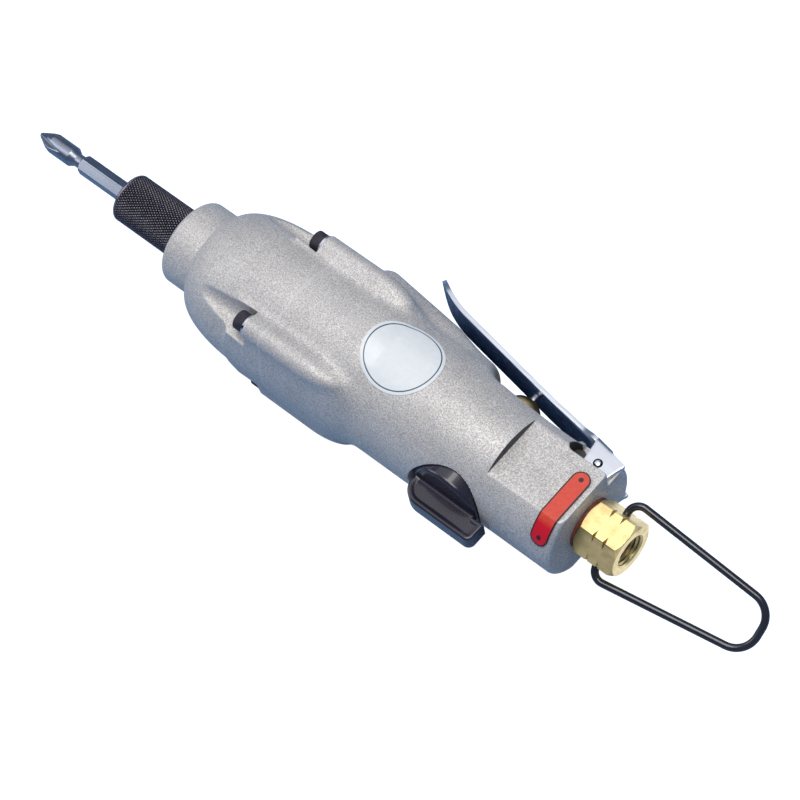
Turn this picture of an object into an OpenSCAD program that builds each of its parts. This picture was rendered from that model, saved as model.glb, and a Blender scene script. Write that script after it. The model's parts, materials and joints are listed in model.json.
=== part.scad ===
// Pneumatic lever screwdriver: a two-piece cast housing with an impact drive in the nose,
// a vane motor behind it, a throttle lever, a reversing knob and a brass air inlet.
// The spindle runs along X with the bit towards -X. The lever is on +Y, the flats face +Z and -Z.
// The origin lies on the spindle axis, in the front face of the nose collar.

/* [Nose] */
// Radius of the nose collar
collar_r = 15.65; // [14.5:0.05:16.2]
// Length of the nose collar
collar_len = 13.4; // [12:0.1:14.5]
// Radius of the rounding on the collar's front edge
collar_edge = 2; // [1:0.1:3]
// Radius at which the nose starts to swell
neck_r = 16.3; // [16.3:0.05:17]
// Length over which the nose swells to full size
swell_len = 26.6; // [24:0.1:29]

/* [Front and rear housing] */
// Largest radius of the round housing
bulb_r = 25.3; // [24.9:0.05:25.8]
// Distance from the collar's rear to the hammer cage
nose_wall = 6; // [5.5:0.1:7]
// Thickness of the gasket in the seam
gasket_t = 0.4; // [0.3:0.05:0.6]
// Length of the full-size part behind the seam
bulb_len = 27.8; // [26:0.1:30]
// Radius of the grip behind the full-size part
waist_r = 23.8; // [23.4:0.05:24.2]
// Length over which the housing narrows to the grip
waist_len = 8; // [6:0.1:10]
// Half the length of the taper from the grip to the tail
taper_half = 18; // [17:0.1:20]
// Radius of the tail
tail_r = 20.4; // [20.2:0.05:20.8]
// Radius of the rounding on the tail's rear edge
tail_edge = 1.6; // [1.2:0.1:2.6]
// Height of the two side flats above the axis
side_flat_z = 16.7; // [16:0.1:17.5]
// Length of the side flats
side_flat_len = 30; // [26:0.5:32]

/* [Lever side] */
// Height of the ridge at its front
ridge_front_y = 29.7; // [29:0.1:30]
// Height of the ridge where it passes under the lever
ridge_mid_y = 26.4; // [26:0.1:26.5]
// Height of the ridge where it meets the valve land
ridge_rear_y = 21.1; // [20.5:0.1:21.3]
// Radius of the ridge's long edges
ridge_r = 6; // [5:0.1:7]
// Half the width of the ridge's flat back
ridge_half_flat = 6.5; // [5:0.1:7]
// Distance from the seam to the highest place of the ridge
ridge_front_inset = 12.8; // [12:0.1:15]
// Distance from the middle of the ridge to its rear
ridge_rear_len = 19; // [17:0.5:23]
// Height of the flat land around the valve
land_y = 15.5; // [15:0.1:15.8]
// Radius of the hollow at the start of the land
land_curve = 7; // [5:0.5:8]

/* [Case screws] */
// Radius of the circle on which the case screws stand
screw_circle_r = 26.8; // [26.4:0.1:27]
// Radius of a case screw's thread
screw_r = 2; // [1.8:0.05:2.1]
// Radius of a case screw's head
screw_head_r = 3.5; // [3.3:0.05:3.6]
// Height of a case screw's head
screw_head_len = 4; // [3.5:0.1:4.5]
// Distance across the flats of a case screw's socket
screw_socket = 3; // [2.5:0.1:3.2]
// Length of a case screw under its head
screw_len = 24; // [22:0.5:26]
// Thickness of the front housing under a screw head
screw_grip = 9; // [8:0.1:10]
// Radius of the rib around a case screw
rib_r = 4.3; // [4.1:0.05:4.5]
// Length of the ribs behind the seam
rib_len = 25.8; // [25:0.5:28]
// Thickness of a lock washer
washer_t = 0.9; // [0.7:0.05:1]

/* [Spindle, sleeve and bit] */
// Radius of the drive spindle
spindle_r = 6.5; // [6.3:0.05:6.7]
// Distance from the collar to the front of the spindle
spindle_reach = 27.6; // [27:0.1:28]
// Depth of the hexagon socket
socket_depth = 25; // [22:0.5:25.5]
// Radius of the knurled sleeve
sleeve_r = 9.05; // [8.8:0.05:9.4]
// Length of the knurled sleeve
sleeve_len = 28.6; // [28.3:0.1:29]
// Distance that the sleeve slides
sleeve_travel = 3; // [2:0.5:3]
// Distance across the flats of the bit's hexagon
bit_flats = 6.35; // [6.3:0.01:6.4]
// Length of the bit in front of the sleeve
bit_reach = 43.3; // [40:0.1:50]
// Radius of the ball that holds the bit
bit_ball_r = 1.6; // [1.4:0.05:1.7]

/* [Motor and impact drive] */
// Radius of the motor cylinder
liner_r = 19.6; // [19.5:0.05:19.8]
// Length of the motor cylinder
liner_len = 36; // [34:0.5:37]
// Radius of the hole in the motor cylinder
liner_bore_r = 15.2; // [14.9:0.05:15.4]
// Radius of the rotor
rotor_r = 13.4; // [13:0.05:13.6]
// Number of vanes
vane_count = 5; // [4:1:6]
// Thickness of a vane
vane_t = 1.6; // [1.2:0.1:2]
// Radius of the rotor's shaft
shaft_r = 4; // [3.8:0.05:4.1]
// Outer radius of a ball bearing
bearing_r = 11; // [10.9:0.05:11.3]
// Width of a ball bearing
bearing_w = 7; // [6.5:0.1:7.5]
// Number of balls in a bearing
bearing_balls_n = 8; // [6:1:9]
// Radius of the hammer cage
cage_r = 18.6; // [18.2:0.05:18.8]
// Length of the hammer cage
cage_len = 34; // [32:0.5:34.5]

/* [Valve and lever] */
// Thickness of the housing between the motor's room and the knob's pocket
valve_wall = 9.9; // [9:0.1:11]
// Distance from the valve and knob to the housing's rear end
valve_inset = 42; // [41:0.1:43]
// Radius of the brass valve cap
cap_r = 5.9; // [5.6:0.05:6.2]
// Height of the valve cap's dome above the axis
cap_top_y = 22.6; // [22:0.1:22.8]
// Radius of the valve stem
stem_r = 1.25; // [1.1:0.05:1.4]
// Distance from the lever pin to the housing's rear end
pin_inset = 7; // [6.7:0.1:7.5]
// Height of the lever pin above the axis
pin_y = 14.2; // [14:0.05:14.3]
// Radius of the lever pin
pin_r = 1.6; // [1.5:0.05:1.65]
// Thickness of the lever's sheet
lever_t = 1.5; // [1.2:0.05:1.7]
// Width of the lever's blade
lever_w = 15.6; // [14:0.1:17]
// Slope of the lever's blade in degrees
lever_slope = 9.9; // [9.7:0.1:10.4]
// Length of the lever from the pin to the tip
lever_reach = 87; // [84:0.5:89]
// Height by which the tip curls away from the blade
lever_curl = 4.2; // [3.5:0.1:6]

/* [Reversing knob] */
// Radius of the knob's disc
knob_r = 13.5; // [13:0.1:13.8]
// Depth of the knob's seat below the axis
knob_seat_y = 16; // [15.8:0.1:16.4]
// Thickness of the knob's disc
knob_disc_t = 5.6; // [5.4:0.1:6]
// Depth of the knob's outer edge below the axis
knob_edge_y = 30; // [29.5:0.1:31.5]
// Width of the finger bar
knob_bar_w = 6.6; // [6:0.1:7.5]
// Distance from the knob's axis to the front of the bar
knob_bar_front = 12; // [11:0.1:12.5]
// Distance from the knob's axis to the rear of the bar
knob_bar_rear = 17.5; // [17:0.1:19]
// Radius of the reversing spool
spool_r = 5.9; // [5.7:0.05:6]

/* [Air inlet and hanger] */
// Distance across the flats of the inlet bushing
inlet_flats = 18.6; // [18.2:0.1:19]
// Distance from the tail to the rear end of the bushing
inlet_len = 17; // [16.5:0.1:18]
// Radius of the inlet's threaded hole
inlet_bore_r = 5.7; // [5.6:0.05:5.9]
// Depth of the inlet's threaded hole
inlet_bore_len = 14; // [12:0.5:15]
// Radius of the bushing's thread in the housing
inlet_spigot_r = 8; // [7.8:0.05:8.2]
// Length of the bushing's thread in the housing
inlet_spigot_len = 13; // [12:0.5:13.5]
// Angle by which the bushing and the hanger are turned about the axis
hanger_roll = 33.5; // [28:0.5:38]
// Distance from the tail to the hanger's hinge
hanger_hinge = 9.6; // [9:0.1:10]
// Radius of the hanger's wire
wire_r = 1.35; // [1.3:0.05:1.4]
// Distance from the axis to each leg of the hanger at the bushing
hanger_half_w = 14.5; // [13.5:0.1:15]
// Half the width of the hanger's far end
hanger_end_half_w = 8.7; // [8.4:0.1:9.5]
// Angle by which the hanger hangs off the axis in degrees
hanger_tilt = 11.6; // [0:0.1:20]
// Distance from the hinge to the far end of the hanger
hanger_len = 54.7; // [52:0.1:60]
// Radius of the hanger's near bends
hanger_bend_r = 4; // [3.5:0.1:4.5]
// Radius of the hanger's far bends
hanger_end_r = 8; // [6:0.1:8.2]

/* [Labels] */
// Radius of the round label
label_r = 14.3; // [13:0.1:14.6]
// Distance from the start of the grip to the middle of the round label
label_inset = 5.7; // [5.2:0.1:6.2]
// Angle of the round label from the flats towards the lever in degrees
label_roll = 0; // [-2:0.5:3]
// Thickness of the labels
label_t = 0.25; // [0.15:0.05:0.4]
// Width of the red strip
strip_w = 6.8; // [6:0.1:7.2]
// Distance from the tail's end to the red strip
strip_inset = 2.2; // [2.2:0.1:3]
// Height at which the strip starts on the flat
strip_top_y = 7; // [6:0.1:8]
// Angle on the round side at which the strip ends
strip_end_angle = 68; // [62:1:72]

/* [Hidden] */
$fn = 64;

// Overrun of every cut past the face that it opens
cut = 1;
// Radial clearance of pieces that turn or slide in each other
run_gap = 0.06;
// Clearance of pieces that are screwed or pressed together
seat_gap = 0.02;
// Clearance between moving pieces that don't guide each other
free_gap = 0.4;
// Steps along a curved stretch of an outline
curve_steps = 10;
// Steps round a rounded edge
edge_steps = 5;
// Steps round one turn of a spring
spring_steps = 8;

// Housing: the drive's room in the front, the seam and the motor's room in the rear
cage_end_gap = 2.4;
cage_x = collar_len + nose_wall;
cage_end_x = cage_x + cage_len;
front_end_x = cage_end_x + cage_end_gap;
rear_start_x = front_end_x + gasket_t;
bulb_end_x = rear_start_x + bulb_len;
waist_x = bulb_end_x + waist_len;
rib_end_x = rear_start_x + rib_len;
ridge_front_x = rear_start_x + ridge_front_inset;
drive_cavity_r = cage_r + free_gap;
motor_cavity_r = liner_r + seat_gap;
rib_angles = [45, 135, 225, 315];
screw_hole_r = screw_r + run_gap;
screw_seat_x = front_end_x - screw_grip;
screw_head_x = screw_seat_x - washer_t;
screw_hole_end_x = screw_head_x + screw_len + cut;
screw_channel_r = screw_head_r + 2 * free_gap;
screw_channel_x = collar_len + swell_len / 3;
gasket_inner_r = liner_r + free_gap;
washer_rim = 0.3;

// Front bushing and spindle
bushing_wall = 4;
bushing_r = spindle_r + bushing_wall;
bushing_start_x = collar_edge / 2;
flange_share = 0.8;
flange_r = spindle_r + bushing_wall * flange_share;
flange_t = 3;
flange_x = collar_len + free_gap;
drive_shaft_r = 7.4;
lug_h = 1.4;
lug_w = 4;

// Hammer cage
cage_plate_t = 4;
cage_drive_t = 6;
cage_wall = 5;
cage_bore_r = cage_r - cage_wall;
dog_bore_r = drive_shaft_r + lug_h + free_gap;
dog_pin_r = 1.8;
dog_count = 2;
dog_spread = 55;
dog_pin_circle_r = (cage_bore_r + dog_bore_r) / 2;
spindle_end_x = cage_end_x - cage_drive_t - free_gap;
dog_room_x = cage_x + cage_plate_t;
dog_room_len = cage_len - cage_plate_t - cage_drive_t;
dog_gap = 0.5;
dog_len = (dog_room_len - (dog_count + 1) * dog_gap) / dog_count;

// Motor stack, from the front housing's rear face to the floor of the motor's room
plate_web = 1.2;
plate_t = bearing_w + plate_web;
liner_x = front_end_x + plate_t;
rear_plate_x = liner_x + liner_len;
motor_end_x = rear_plate_x + plate_t;
valve_x = motor_end_x + valve_wall + knob_r + free_gap;
housing_len = valve_x + valve_inset;
taper_x = valve_x - taper_half;
tail_x = valve_x + taper_half;
side_flat_x = housing_len - side_flat_len;
pin_x = housing_len - pin_inset;
land_gap = 0.1;
ridge_rear_x = valve_x - cap_r - land_gap - land_curve;
ridge_mid_x = ridge_rear_x - ridge_rear_len;
label_x = waist_x + label_inset;
liner_offset = liner_bore_r - rotor_r - run_gap;
vane_root_r = rotor_r / 2;
shaft_hole_r = shaft_r + free_gap;
ball_share = 0.16;
ball_r = bearing_r * ball_share;
ball_circle_r = (bearing_r + shaft_r) / 2;
inner_ring_r = ball_circle_r - ball_r - run_gap;
outer_ring_r = ball_circle_r + ball_r + run_gap;
motor_pin_r = 1.2;
motor_pin_y = -(liner_r + liner_bore_r - liner_offset) / 2;
motor_pin_inset = 2;

// Quick-change chuck
socket_flats = bit_flats + 2 * run_gap;
bit_corner_r = bit_flats / sqrt(3);
bit_end_x = socket_depth - spindle_reach - free_gap;
ball_inset = 9;
ball_x = -ball_inset;
ball_reach = bit_corner_r + run_gap + bit_ball_r;
sleeve_end_x = -free_gap;
sleeve_x = sleeve_end_x - sleeve_len;
chuck_spring_inset = 14.5;
chuck_spring_end_x = -chuck_spring_inset;
chuck_spring_wire_r = 0.4;
chuck_spring_r = (spindle_r + run_gap) / cos(180 / spring_steps) + chuck_spring_wire_r;
chuck_spring_turns = 5;
sleeve_room = 1.5;
sleeve_room_r = spindle_r + sleeve_room;
ball_room_r = ball_reach + bit_ball_r + run_gap;
ring_inset = 26.4;
ring_x = -ring_inset;
ring_t = 1;
ring_gap = 0.2;
ring_r = sleeve_room_r - ring_gap;
ring_groove = 0.6;
sleeve_edge = 0.7;

// Bit: outline of the turned stretch in front of the hexagon
bit_tip_x = sleeve_x - bit_reach;
bit_neck_r = 2.6;
bit_shank_chamfer = 1.4;
bit_head_len = 19.5;
bit_neck_len = 3;
bit_tip_r = 0.9;
bit_cone_len = 6;
bit_cone_share = 0.8;
flute_r = 2.4;
flute_share = 0.7;

// Throttle valve
valve_floor_y = 3;
chamber_r = 4.4;
cap_thread_r = 5.2;
cap_base_t = 3.1;
cap_spigot_len = 4.9;
cap_room_r = 2.2;
seat_t = 1.6;
seat_hole_r = 2.3;
valve_head_r = 3.4;
valve_head_t = 2;
seat_top_y = land_y - cap_spigot_len;
valve_head_y = seat_top_y - seat_t - run_gap;
valve_spring_wire_r = 0.25;
valve_spring_turns = 3;
lever_press_angle = 3.5;
valve_arm = pin_x - valve_x;
valve_travel = valve_arm * lever_press_angle * PI / 180;
passage_r = 2.4;
passage_y = valve_floor_y + passage_r;
port_r = 1.6;
port_spread = 2.9;

// Lever: the blade's underside rises from over the pin towards the tip
lever_over_pin = 5;
lever_tail = 7.4;
lever_under_y = pin_y + lever_over_pin;
curl_start_share = 0.8;
stem_top_y = lever_under_y + (valve_arm - stem_r) * tan(lever_slope) - run_gap;
ear_gap = 0.15;
web_z = 9;
ear_z = web_z + ear_gap;
ear_bottom = 2.9;
ear_front_low = 4.6;
ear_front_high = 6;
ear_rear_low = 5.4;
ear_out_z = ear_z + lever_t;
ear_slot_gap = 0.6;
slot_y = pin_y - ear_bottom - ear_slot_gap;
slot_end_r = 2.3;
slot_x = pin_x - ear_front_high - slot_end_r / 2;
boss_reach = 9;
boss_h = 3.2;
boss_x = pin_x - boss_reach;
boss_y = pin_y + boss_h;
pin_overhang = 0.6;
pin_end_z = ear_out_z + pin_overhang;

// Reversing spool and its detent
spool_drop = 2;
spool_top_y = -spool_drop;
spool_bore_r = spool_r + run_gap;
knob_top_y = knob_seat_y + run_gap;
knob_pocket_r = knob_r + free_gap;
knob_edge = 1;
bar_front_r = 7;
bar_rear_r = 2.6;
bar_lift_y = 22.2;
spool_tang = 6;
spool_tang_len = 3;
oring_minor_r = 0.75;
oring_depth = 13.3;
oring_y = -oring_depth;
oring_groove_w = 1.9;
spool_pin_r = 1.2;
spool_pin_depth = 8;
spool_pin_y = -spool_pin_depth;
spool_groove_r = 4.4;
spool_pin_x = valve_x + spool_groove_r + spool_pin_r + run_gap;
spool_port_w = 3.4;
detent_r = 1.4;
detent_circle_r = 9.6;
detent_step = 0.5;
detent_hole_len = 7;
detent_y = -(knob_seat_y + detent_step - detent_r);
detent_spring_wire_r = 0.25;
detent_spring_turns = 4;

// Inlet bushing
inlet_end_x = housing_len + inlet_len;
inlet_seal_t = 1;
hex_x = housing_len + inlet_seal_t;
hex_corner_r = inlet_flats / sqrt(3);
hex_edge_land = 0.15;
hex_edge_r = inlet_flats / 2 + hex_edge_land;
hex_skirt_r = hex_corner_r + hex_edge_land;
hex_chamfer = 1.1;
inlet_through_r = 4.2;
spigot_x = housing_len - inlet_spigot_len;
nick_shares = [0.4, 0.66];
nick_w = 0.8;
nick_depth = 0.9;
nick_r = hex_corner_r - nick_depth;
screen_len = 4;
screen_x = spigot_x - screen_len;
screen_t = 0.6;
screen_r = 6.4;
screen_hole_r = 0.9;
screen_hole_circle_r = 3.4;

// Hanger
hinge_x = housing_len + hanger_hinge;
hinge_hole_len = 2.7;
hinge_depth = inlet_flats / 2 - hinge_hole_len;
hinge_hole_r = wire_r + run_gap;

// Colours
cast_grey = [0.66, 0.65, 0.63];
black_steel = [0.10, 0.10, 0.11];
bright_steel = [0.75, 0.77, 0.80];
brass_yellow = [0.80, 0.66, 0.32];
rubber_black = [0.06, 0.06, 0.06];

// Places a solid that is built upwards along +Z so that it runs along +X from x
module along_x(x = 0) {
    translate([x, 0, 0]) rotate([0, 90, 0]) children();
}

// Round rod along X
module x_rod(x, len, r) {
    along_x(x) cylinder(h = len, r = r);
}

// Round rod along Y, upwards from y
module y_rod(x, y, len, r) {
    translate([x, y, 0]) rotate([-90, 0, 0]) cylinder(h = len, r = r);
}

// Round rod along Z
module z_rod(x, y, z, len, r) {
    translate([x, y, z]) cylinder(h = len, r = r);
}

// Solid of revolution about X, from points that hold a place along X and a radius
module x_turned(points) {
    rotate([0, 90, 0]) rotate_extrude() polygon([for (p = points) [p[1], p[0]]]);
}

// Solid of revolution about a line along Y through x, from points of a radius and a height
module y_turned(x, points) {
    translate([x, 0, 0]) rotate([-90, 0, 0]) rotate_extrude() polygon(points);
}

// Six-sided rod along X, from the distance across its flats
module x_hex(x, len, flats, roll = 0) {
    rotate([roll, 0, 0]) along_x(x) cylinder(h = len, r = flats / sqrt(3), $fn = 6);
}

// Puts a copy at each case screw's place
module at_screws() {
    for (a = rib_angles) {
        rotate([a, 0, 0]) translate([0, screw_circle_r, 0]) children();
    }
}

// Points of an arc between two angles round a centre
function arc_points(centre, r, from, to, steps) =
    [for (i = [0:steps]) let (a = from + (to - from) * i / steps) centre + r * [cos(a), sin(a)]];

// Ring of points round one point of a spring's centre line
function spring_ring(r, wire, a, y, sides) =
    [for (k = [0:sides - 1]) let (b = 360 * k / sides)
        [(r + wire * cos(b)) * cos(a), (r + wire * cos(b)) * sin(a), y + wire * sin(b)]];

// Compression spring along +Z as one unbroken tube, its outer faces at 0 and len
module spring(r, wire, len, turns) {
    sides = 6;
    steps = spring_steps * turns;
    rise = len - 2 * wire;
    points = [for (i = [0:steps]) each spring_ring(r, wire, 360 * turns * i / steps,
        wire + rise * i / steps, sides)];
    last = len(points) - sides;
    walls = [for (i = [0:steps - 1], k = [0:sides - 1])
        let (a = i * sides + k, b = i * sides + (k + 1) % sides)
        each [[a, b + sides, a + sides], [a, b, b + sides]]];
    caps = [for (k = [1:sides - 2]) each [[0, k + 1, k], [last, last + k, last + k + 1]]];
    polyhedron(points, concat(walls, caps));
}

// Outline of the front housing
nose_outline = concat(
    [[0, 0]],
    arc_points([collar_edge, collar_r - collar_edge], collar_edge, 180, 90, edge_steps),
    [[collar_len, collar_r]],
    [for (i = [0:curve_steps]) let (a = 90 * i / curve_steps)
        [collar_len + swell_len * (1 - cos(a)), neck_r + (bulb_r - neck_r) * sin(a)]],
    [[front_end_x, bulb_r], [front_end_x, 0]]);

// Outline of the rear housing, grown outwards by extra, before its front end is cut at the gasket
function tail_outline(extra) = concat(
    [[front_end_x, 0], [front_end_x, bulb_r + extra], [bulb_end_x, bulb_r + extra],
        [waist_x, waist_r + extra]],
    [for (i = [0:curve_steps]) let (share = i / curve_steps)
        [taper_x + (tail_x - taper_x) * share,
            tail_r + extra + (waist_r - tail_r) * (1 + cos(180 * share)) / 2]],
    arc_points([housing_len - tail_edge, tail_r - tail_edge], tail_edge + extra, 90, 0, edge_steps),
    [[housing_len + extra, 0]]);

// Round rear housing with its side flats, grown outwards by extra
module tail_skin(extra) {
    difference() {
        x_turned(tail_outline(extra));
        for (side = [0, 1]) {
            mirror([0, 0, side]) translate([side_flat_x, -tail_r - cut, side_flat_z + extra])
                cube([housing_len, 2 * (tail_r + cut), tail_r]);
        }
    }
}

module front_housing() color(cast_grey) {
    difference() {
        union() {
            x_turned(nose_outline);
            at_screws() x_rod(screw_seat_x, front_end_x - screw_seat_x, rib_r);
        }
        x_rod(-cut, cage_x + cut, bushing_r + seat_gap);
        x_rod(cage_x - free_gap, cage_len + cage_end_gap + free_gap + cut, drive_cavity_r);
        at_screws() {
            x_rod(screw_channel_x, screw_seat_x - screw_channel_x, screw_channel_r);
            x_rod(screw_seat_x - cut, screw_grip + 2 * cut, screw_hole_r);
        }
    }
}

// Ridge over the air passage, flat-backed over the places where its height is given
module lever_ridge() {
    hull() {
        for (p = [[ridge_front_x, ridge_front_y], [ridge_mid_x, ridge_mid_y],
            [ridge_rear_x, ridge_rear_y]]) {
            for (side = [-1, 1]) {
                translate([p[0], p[1] - ridge_r, side * ridge_half_flat])
                    sphere(r = ridge_r, $fn = 32);
            }
        }
    }
}

// Room above the valve land, which starts in a hollow behind the ridge
module land_cut() {
    top_y = ridge_front_y + cut;
    curve = arc_points([ridge_rear_x + land_curve, land_y + land_curve], land_curve, 180, 270,
        edge_steps);
    outline = concat([[ridge_rear_x, top_y]], curve, [[boss_x, land_y], [boss_x, boss_y],
        [housing_len + cut, boss_y], [housing_len + cut, top_y]]);
    translate([0, 0, -bulb_r]) linear_extrude(2 * bulb_r) polygon(outline);
}

// Slots beside the pivot web that take the lever's ears, with a round front end
module ear_slots() {
    slot_h = tail_r;
    for (side = [0, 1]) {
        mirror([0, 0, side]) {
            translate([slot_x, slot_y, web_z]) cube([housing_len, slot_h, tail_r]);
            z_rod(slot_x, slot_y + slot_end_r, web_z, tail_r, slot_end_r);
        }
    }
}

// Air ways from the inlet past the throttle valve and the spool to the motor
module air_ways() {
    x_rod(spigot_x, inlet_spigot_len + cut, inlet_spigot_r + seat_gap);
    x_rod(screen_x, spigot_x - screen_x, screen_r + seat_gap);
    translate([0, passage_y, 0]) x_rod(valve_x, screen_x - valve_x + cut, passage_r);
    y_rod(valve_x, valve_floor_y, seat_top_y - valve_floor_y, chamber_r + seat_gap);
    y_rod(valve_x, seat_top_y, land_y, cap_thread_r + seat_gap);
    y_rod(valve_x, spool_top_y - cut, valve_floor_y - spool_top_y + 2 * cut, passage_r);
    y_rod(valve_x, -tail_r - bulb_r, tail_r + bulb_r + spool_top_y + free_gap, spool_bore_r);
    for (side = [-1, 1]) {
        translate([0, spool_top_y - passage_r, side * port_spread])
            x_rod(motor_end_x - cut, valve_x - motor_end_x, port_r);
    }
}

module rear_housing() color(cast_grey) {
    difference() {
        union() {
            tail_skin(0);
            lever_ridge();
            at_screws() x_turned(concat([[front_end_x, 0], [front_end_x, rib_r]],
                arc_points([rib_end_x - rib_r, 0], rib_r, 90, 0, edge_steps)));
        }
        x_rod(0, rear_start_x, 2 * bulb_r);
        land_cut();
        ear_slots();
        x_rod(0, motor_end_x, motor_cavity_r);
        at_screws() x_rod(rear_start_x - cut, screw_hole_end_x - rear_start_x + cut, screw_hole_r);
        air_ways();
        y_rod(valve_x, -tail_r - bulb_r, tail_r + bulb_r - knob_seat_y, knob_pocket_r);
        y_rod(valve_x + detent_circle_r, -knob_seat_y - cut, detent_hole_len + cut,
            detent_r + run_gap);
        z_rod(spool_pin_x, spool_pin_y, -tail_r - bulb_r, tail_r + bulb_r + spool_r,
            spool_pin_r + seat_gap);
        z_rod(pin_x, pin_y, -tail_r, 2 * tail_r, pin_r + seat_gap);
    }
}

module housing_gasket() color([0.25, 0.25, 0.26]) {
    difference() {
        union() {
            x_rod(front_end_x, gasket_t, bulb_r - free_gap / 2);
            at_screws() x_rod(front_end_x, gasket_t, rib_r - free_gap / 2);
        }
        x_rod(front_end_x - cut, gasket_t + 2 * cut, gasket_inner_r);
        at_screws() x_rod(front_end_x - cut, gasket_t + 2 * cut, screw_hole_r);
    }
}

module case_screws() color(black_steel) {
    at_screws() difference() {
        union() {
            x_rod(screw_head_x - screw_head_len, screw_head_len, screw_head_r);
            x_rod(screw_head_x - cut, screw_len + cut, screw_r);
        }
        x_hex(screw_head_x - screw_head_len - cut, screw_head_len / 2 + cut, screw_socket);
    }
}

module lock_washers() color(bright_steel) {
    at_screws() difference() {
        x_rod(screw_head_x, washer_t, screw_head_r + washer_rim);
        x_rod(screw_head_x - cut, washer_t + 2 * cut, screw_hole_r);
    }
}

module front_bushing() color([0.72, 0.52, 0.30]) {
    difference() {
        x_rod(bushing_start_x, collar_len - bushing_start_x, bushing_r);
        x_rod(-cut, collar_len + 2 * cut, spindle_r + run_gap);
    }
}

module anvil_spindle() color(bright_steel) {
    difference() {
        union() {
            x_rod(-spindle_reach, spindle_reach + flange_x, spindle_r);
            x_rod(flange_x, flange_t, flange_r);
            x_rod(flange_x, spindle_end_x - flange_x, drive_shaft_r);
            for (i = [0:dog_count - 1]) {
                lug_x = dog_room_x + dog_gap + i * (dog_len + dog_gap);
                translate([lug_x, 0, -lug_w / 2]) cube([dog_len, drive_shaft_r + lug_h, lug_w]);
            }
        }
        x_hex(-spindle_reach - cut, socket_depth + cut, socket_flats);
        y_rod(ball_x, 0, 2 * spindle_r, bit_ball_r + run_gap);
        difference() {
            x_rod(ring_x, ring_t, spindle_r + cut);
            x_rod(ring_x - cut, ring_t + 2 * cut, spindle_r - ring_groove);
        }
    }
}

module chuck_sleeve() color(black_steel) {
    inner_r = spindle_r + run_gap;
    difference() {
        x_turned([[sleeve_x, 0], [sleeve_x, sleeve_r - sleeve_edge],
            [sleeve_x + sleeve_edge, sleeve_r], [sleeve_end_x - sleeve_edge, sleeve_r],
            [sleeve_end_x, sleeve_r - sleeve_edge], [sleeve_end_x, 0]]);
        x_rod(sleeve_x - cut, sleeve_len + 2 * cut, inner_r);
        x_rod(sleeve_x - cut, chuck_spring_end_x - sleeve_x + cut, sleeve_room_r);
        x_rod(ball_x - 2 * bit_ball_r, 4 * bit_ball_r + sleeve_travel, ball_room_r);
    }
}

module sleeve_spring() color(bright_steel) {
    start_x = ring_x + ring_t;
    along_x(start_x) spring(chuck_spring_r, chuck_spring_wire_r, chuck_spring_end_x - start_x,
        chuck_spring_turns);
}

module sleeve_ring() color(bright_steel) {
    difference() {
        x_rod(ring_x + seat_gap, ring_t - 2 * seat_gap, ring_r);
        x_rod(ring_x - cut, ring_t + 2 * cut, spindle_r - ring_groove + seat_gap);
        translate([ring_x - cut, 0, -spindle_r / 4]) cube([3 * cut, ring_r + cut, spindle_r / 2]);
    }
}

module bit_ball() color(bright_steel) {
    translate([ball_x, ball_reach, 0]) sphere(r = bit_ball_r);
}

module driver_bit() color(bright_steel) {
    head_x = bit_tip_x + bit_head_len;
    hex_start_x = head_x + bit_neck_len;
    tip_r = bit_corner_r;
    difference() {
        union() {
            x_turned([[bit_tip_x, 0], [bit_tip_x, bit_tip_r],
                [bit_tip_x + bit_cone_len, tip_r * bit_cone_share],
                [bit_tip_x + 2 * bit_cone_len, tip_r],
                [head_x - bit_shank_chamfer, tip_r], [head_x, bit_neck_r],
                [hex_start_x, bit_neck_r], [hex_start_x, 0]]);
            intersection() {
                x_hex(hex_start_x, bit_end_x - hex_start_x, bit_flats);
                x_turned([[hex_start_x, 0], [hex_start_x, bit_neck_r],
                    [hex_start_x + bit_shank_chamfer, tip_r + cut],
                    [bit_end_x - bit_shank_chamfer, tip_r + cut],
                    [bit_end_x, bit_neck_r], [bit_end_x, 0]]);
            }
        }
        for (a = [0:90:270]) {
            rotate([a + 45, 0, 0]) translate([bit_tip_x - cut, flute_r, 0])
                rotate([0, 0, atan2(tip_r - bit_tip_r, 2 * bit_cone_len)])
                x_rod(0, 2 * bit_cone_len, flute_r * flute_share);
        }
        difference() {
            x_rod(ball_x - bit_ball_r, 2 * bit_ball_r, bit_corner_r + cut);
            x_rod(ball_x - 2 * bit_ball_r, 4 * bit_ball_r, bit_flats / 2 - run_gap);
        }
    }
}

module hammer_cage() color([0.45, 0.45, 0.47]) {
    difference() {
        x_rod(cage_x, cage_len, cage_r);
        x_rod(cage_x - cut, cage_plate_t + 2 * cut, drive_shaft_r + free_gap);
        x_rod(dog_room_x, dog_room_len, cage_bore_r);
        x_rod(cage_end_x - cage_drive_t - cut, cage_drive_t + 2 * cut, shaft_r + seat_gap);
        for (side = [-1, 1]) {
            translate([0, 0, side * dog_pin_circle_r])
                x_rod(cage_x - cut, cage_len + 2 * cut, dog_pin_r + seat_gap);
        }
        translate([dog_room_x, -cage_r - cut, -lug_w]) cube([dog_room_len, 2 * (cage_r + cut),
            2 * lug_w]);
    }
}

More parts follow.
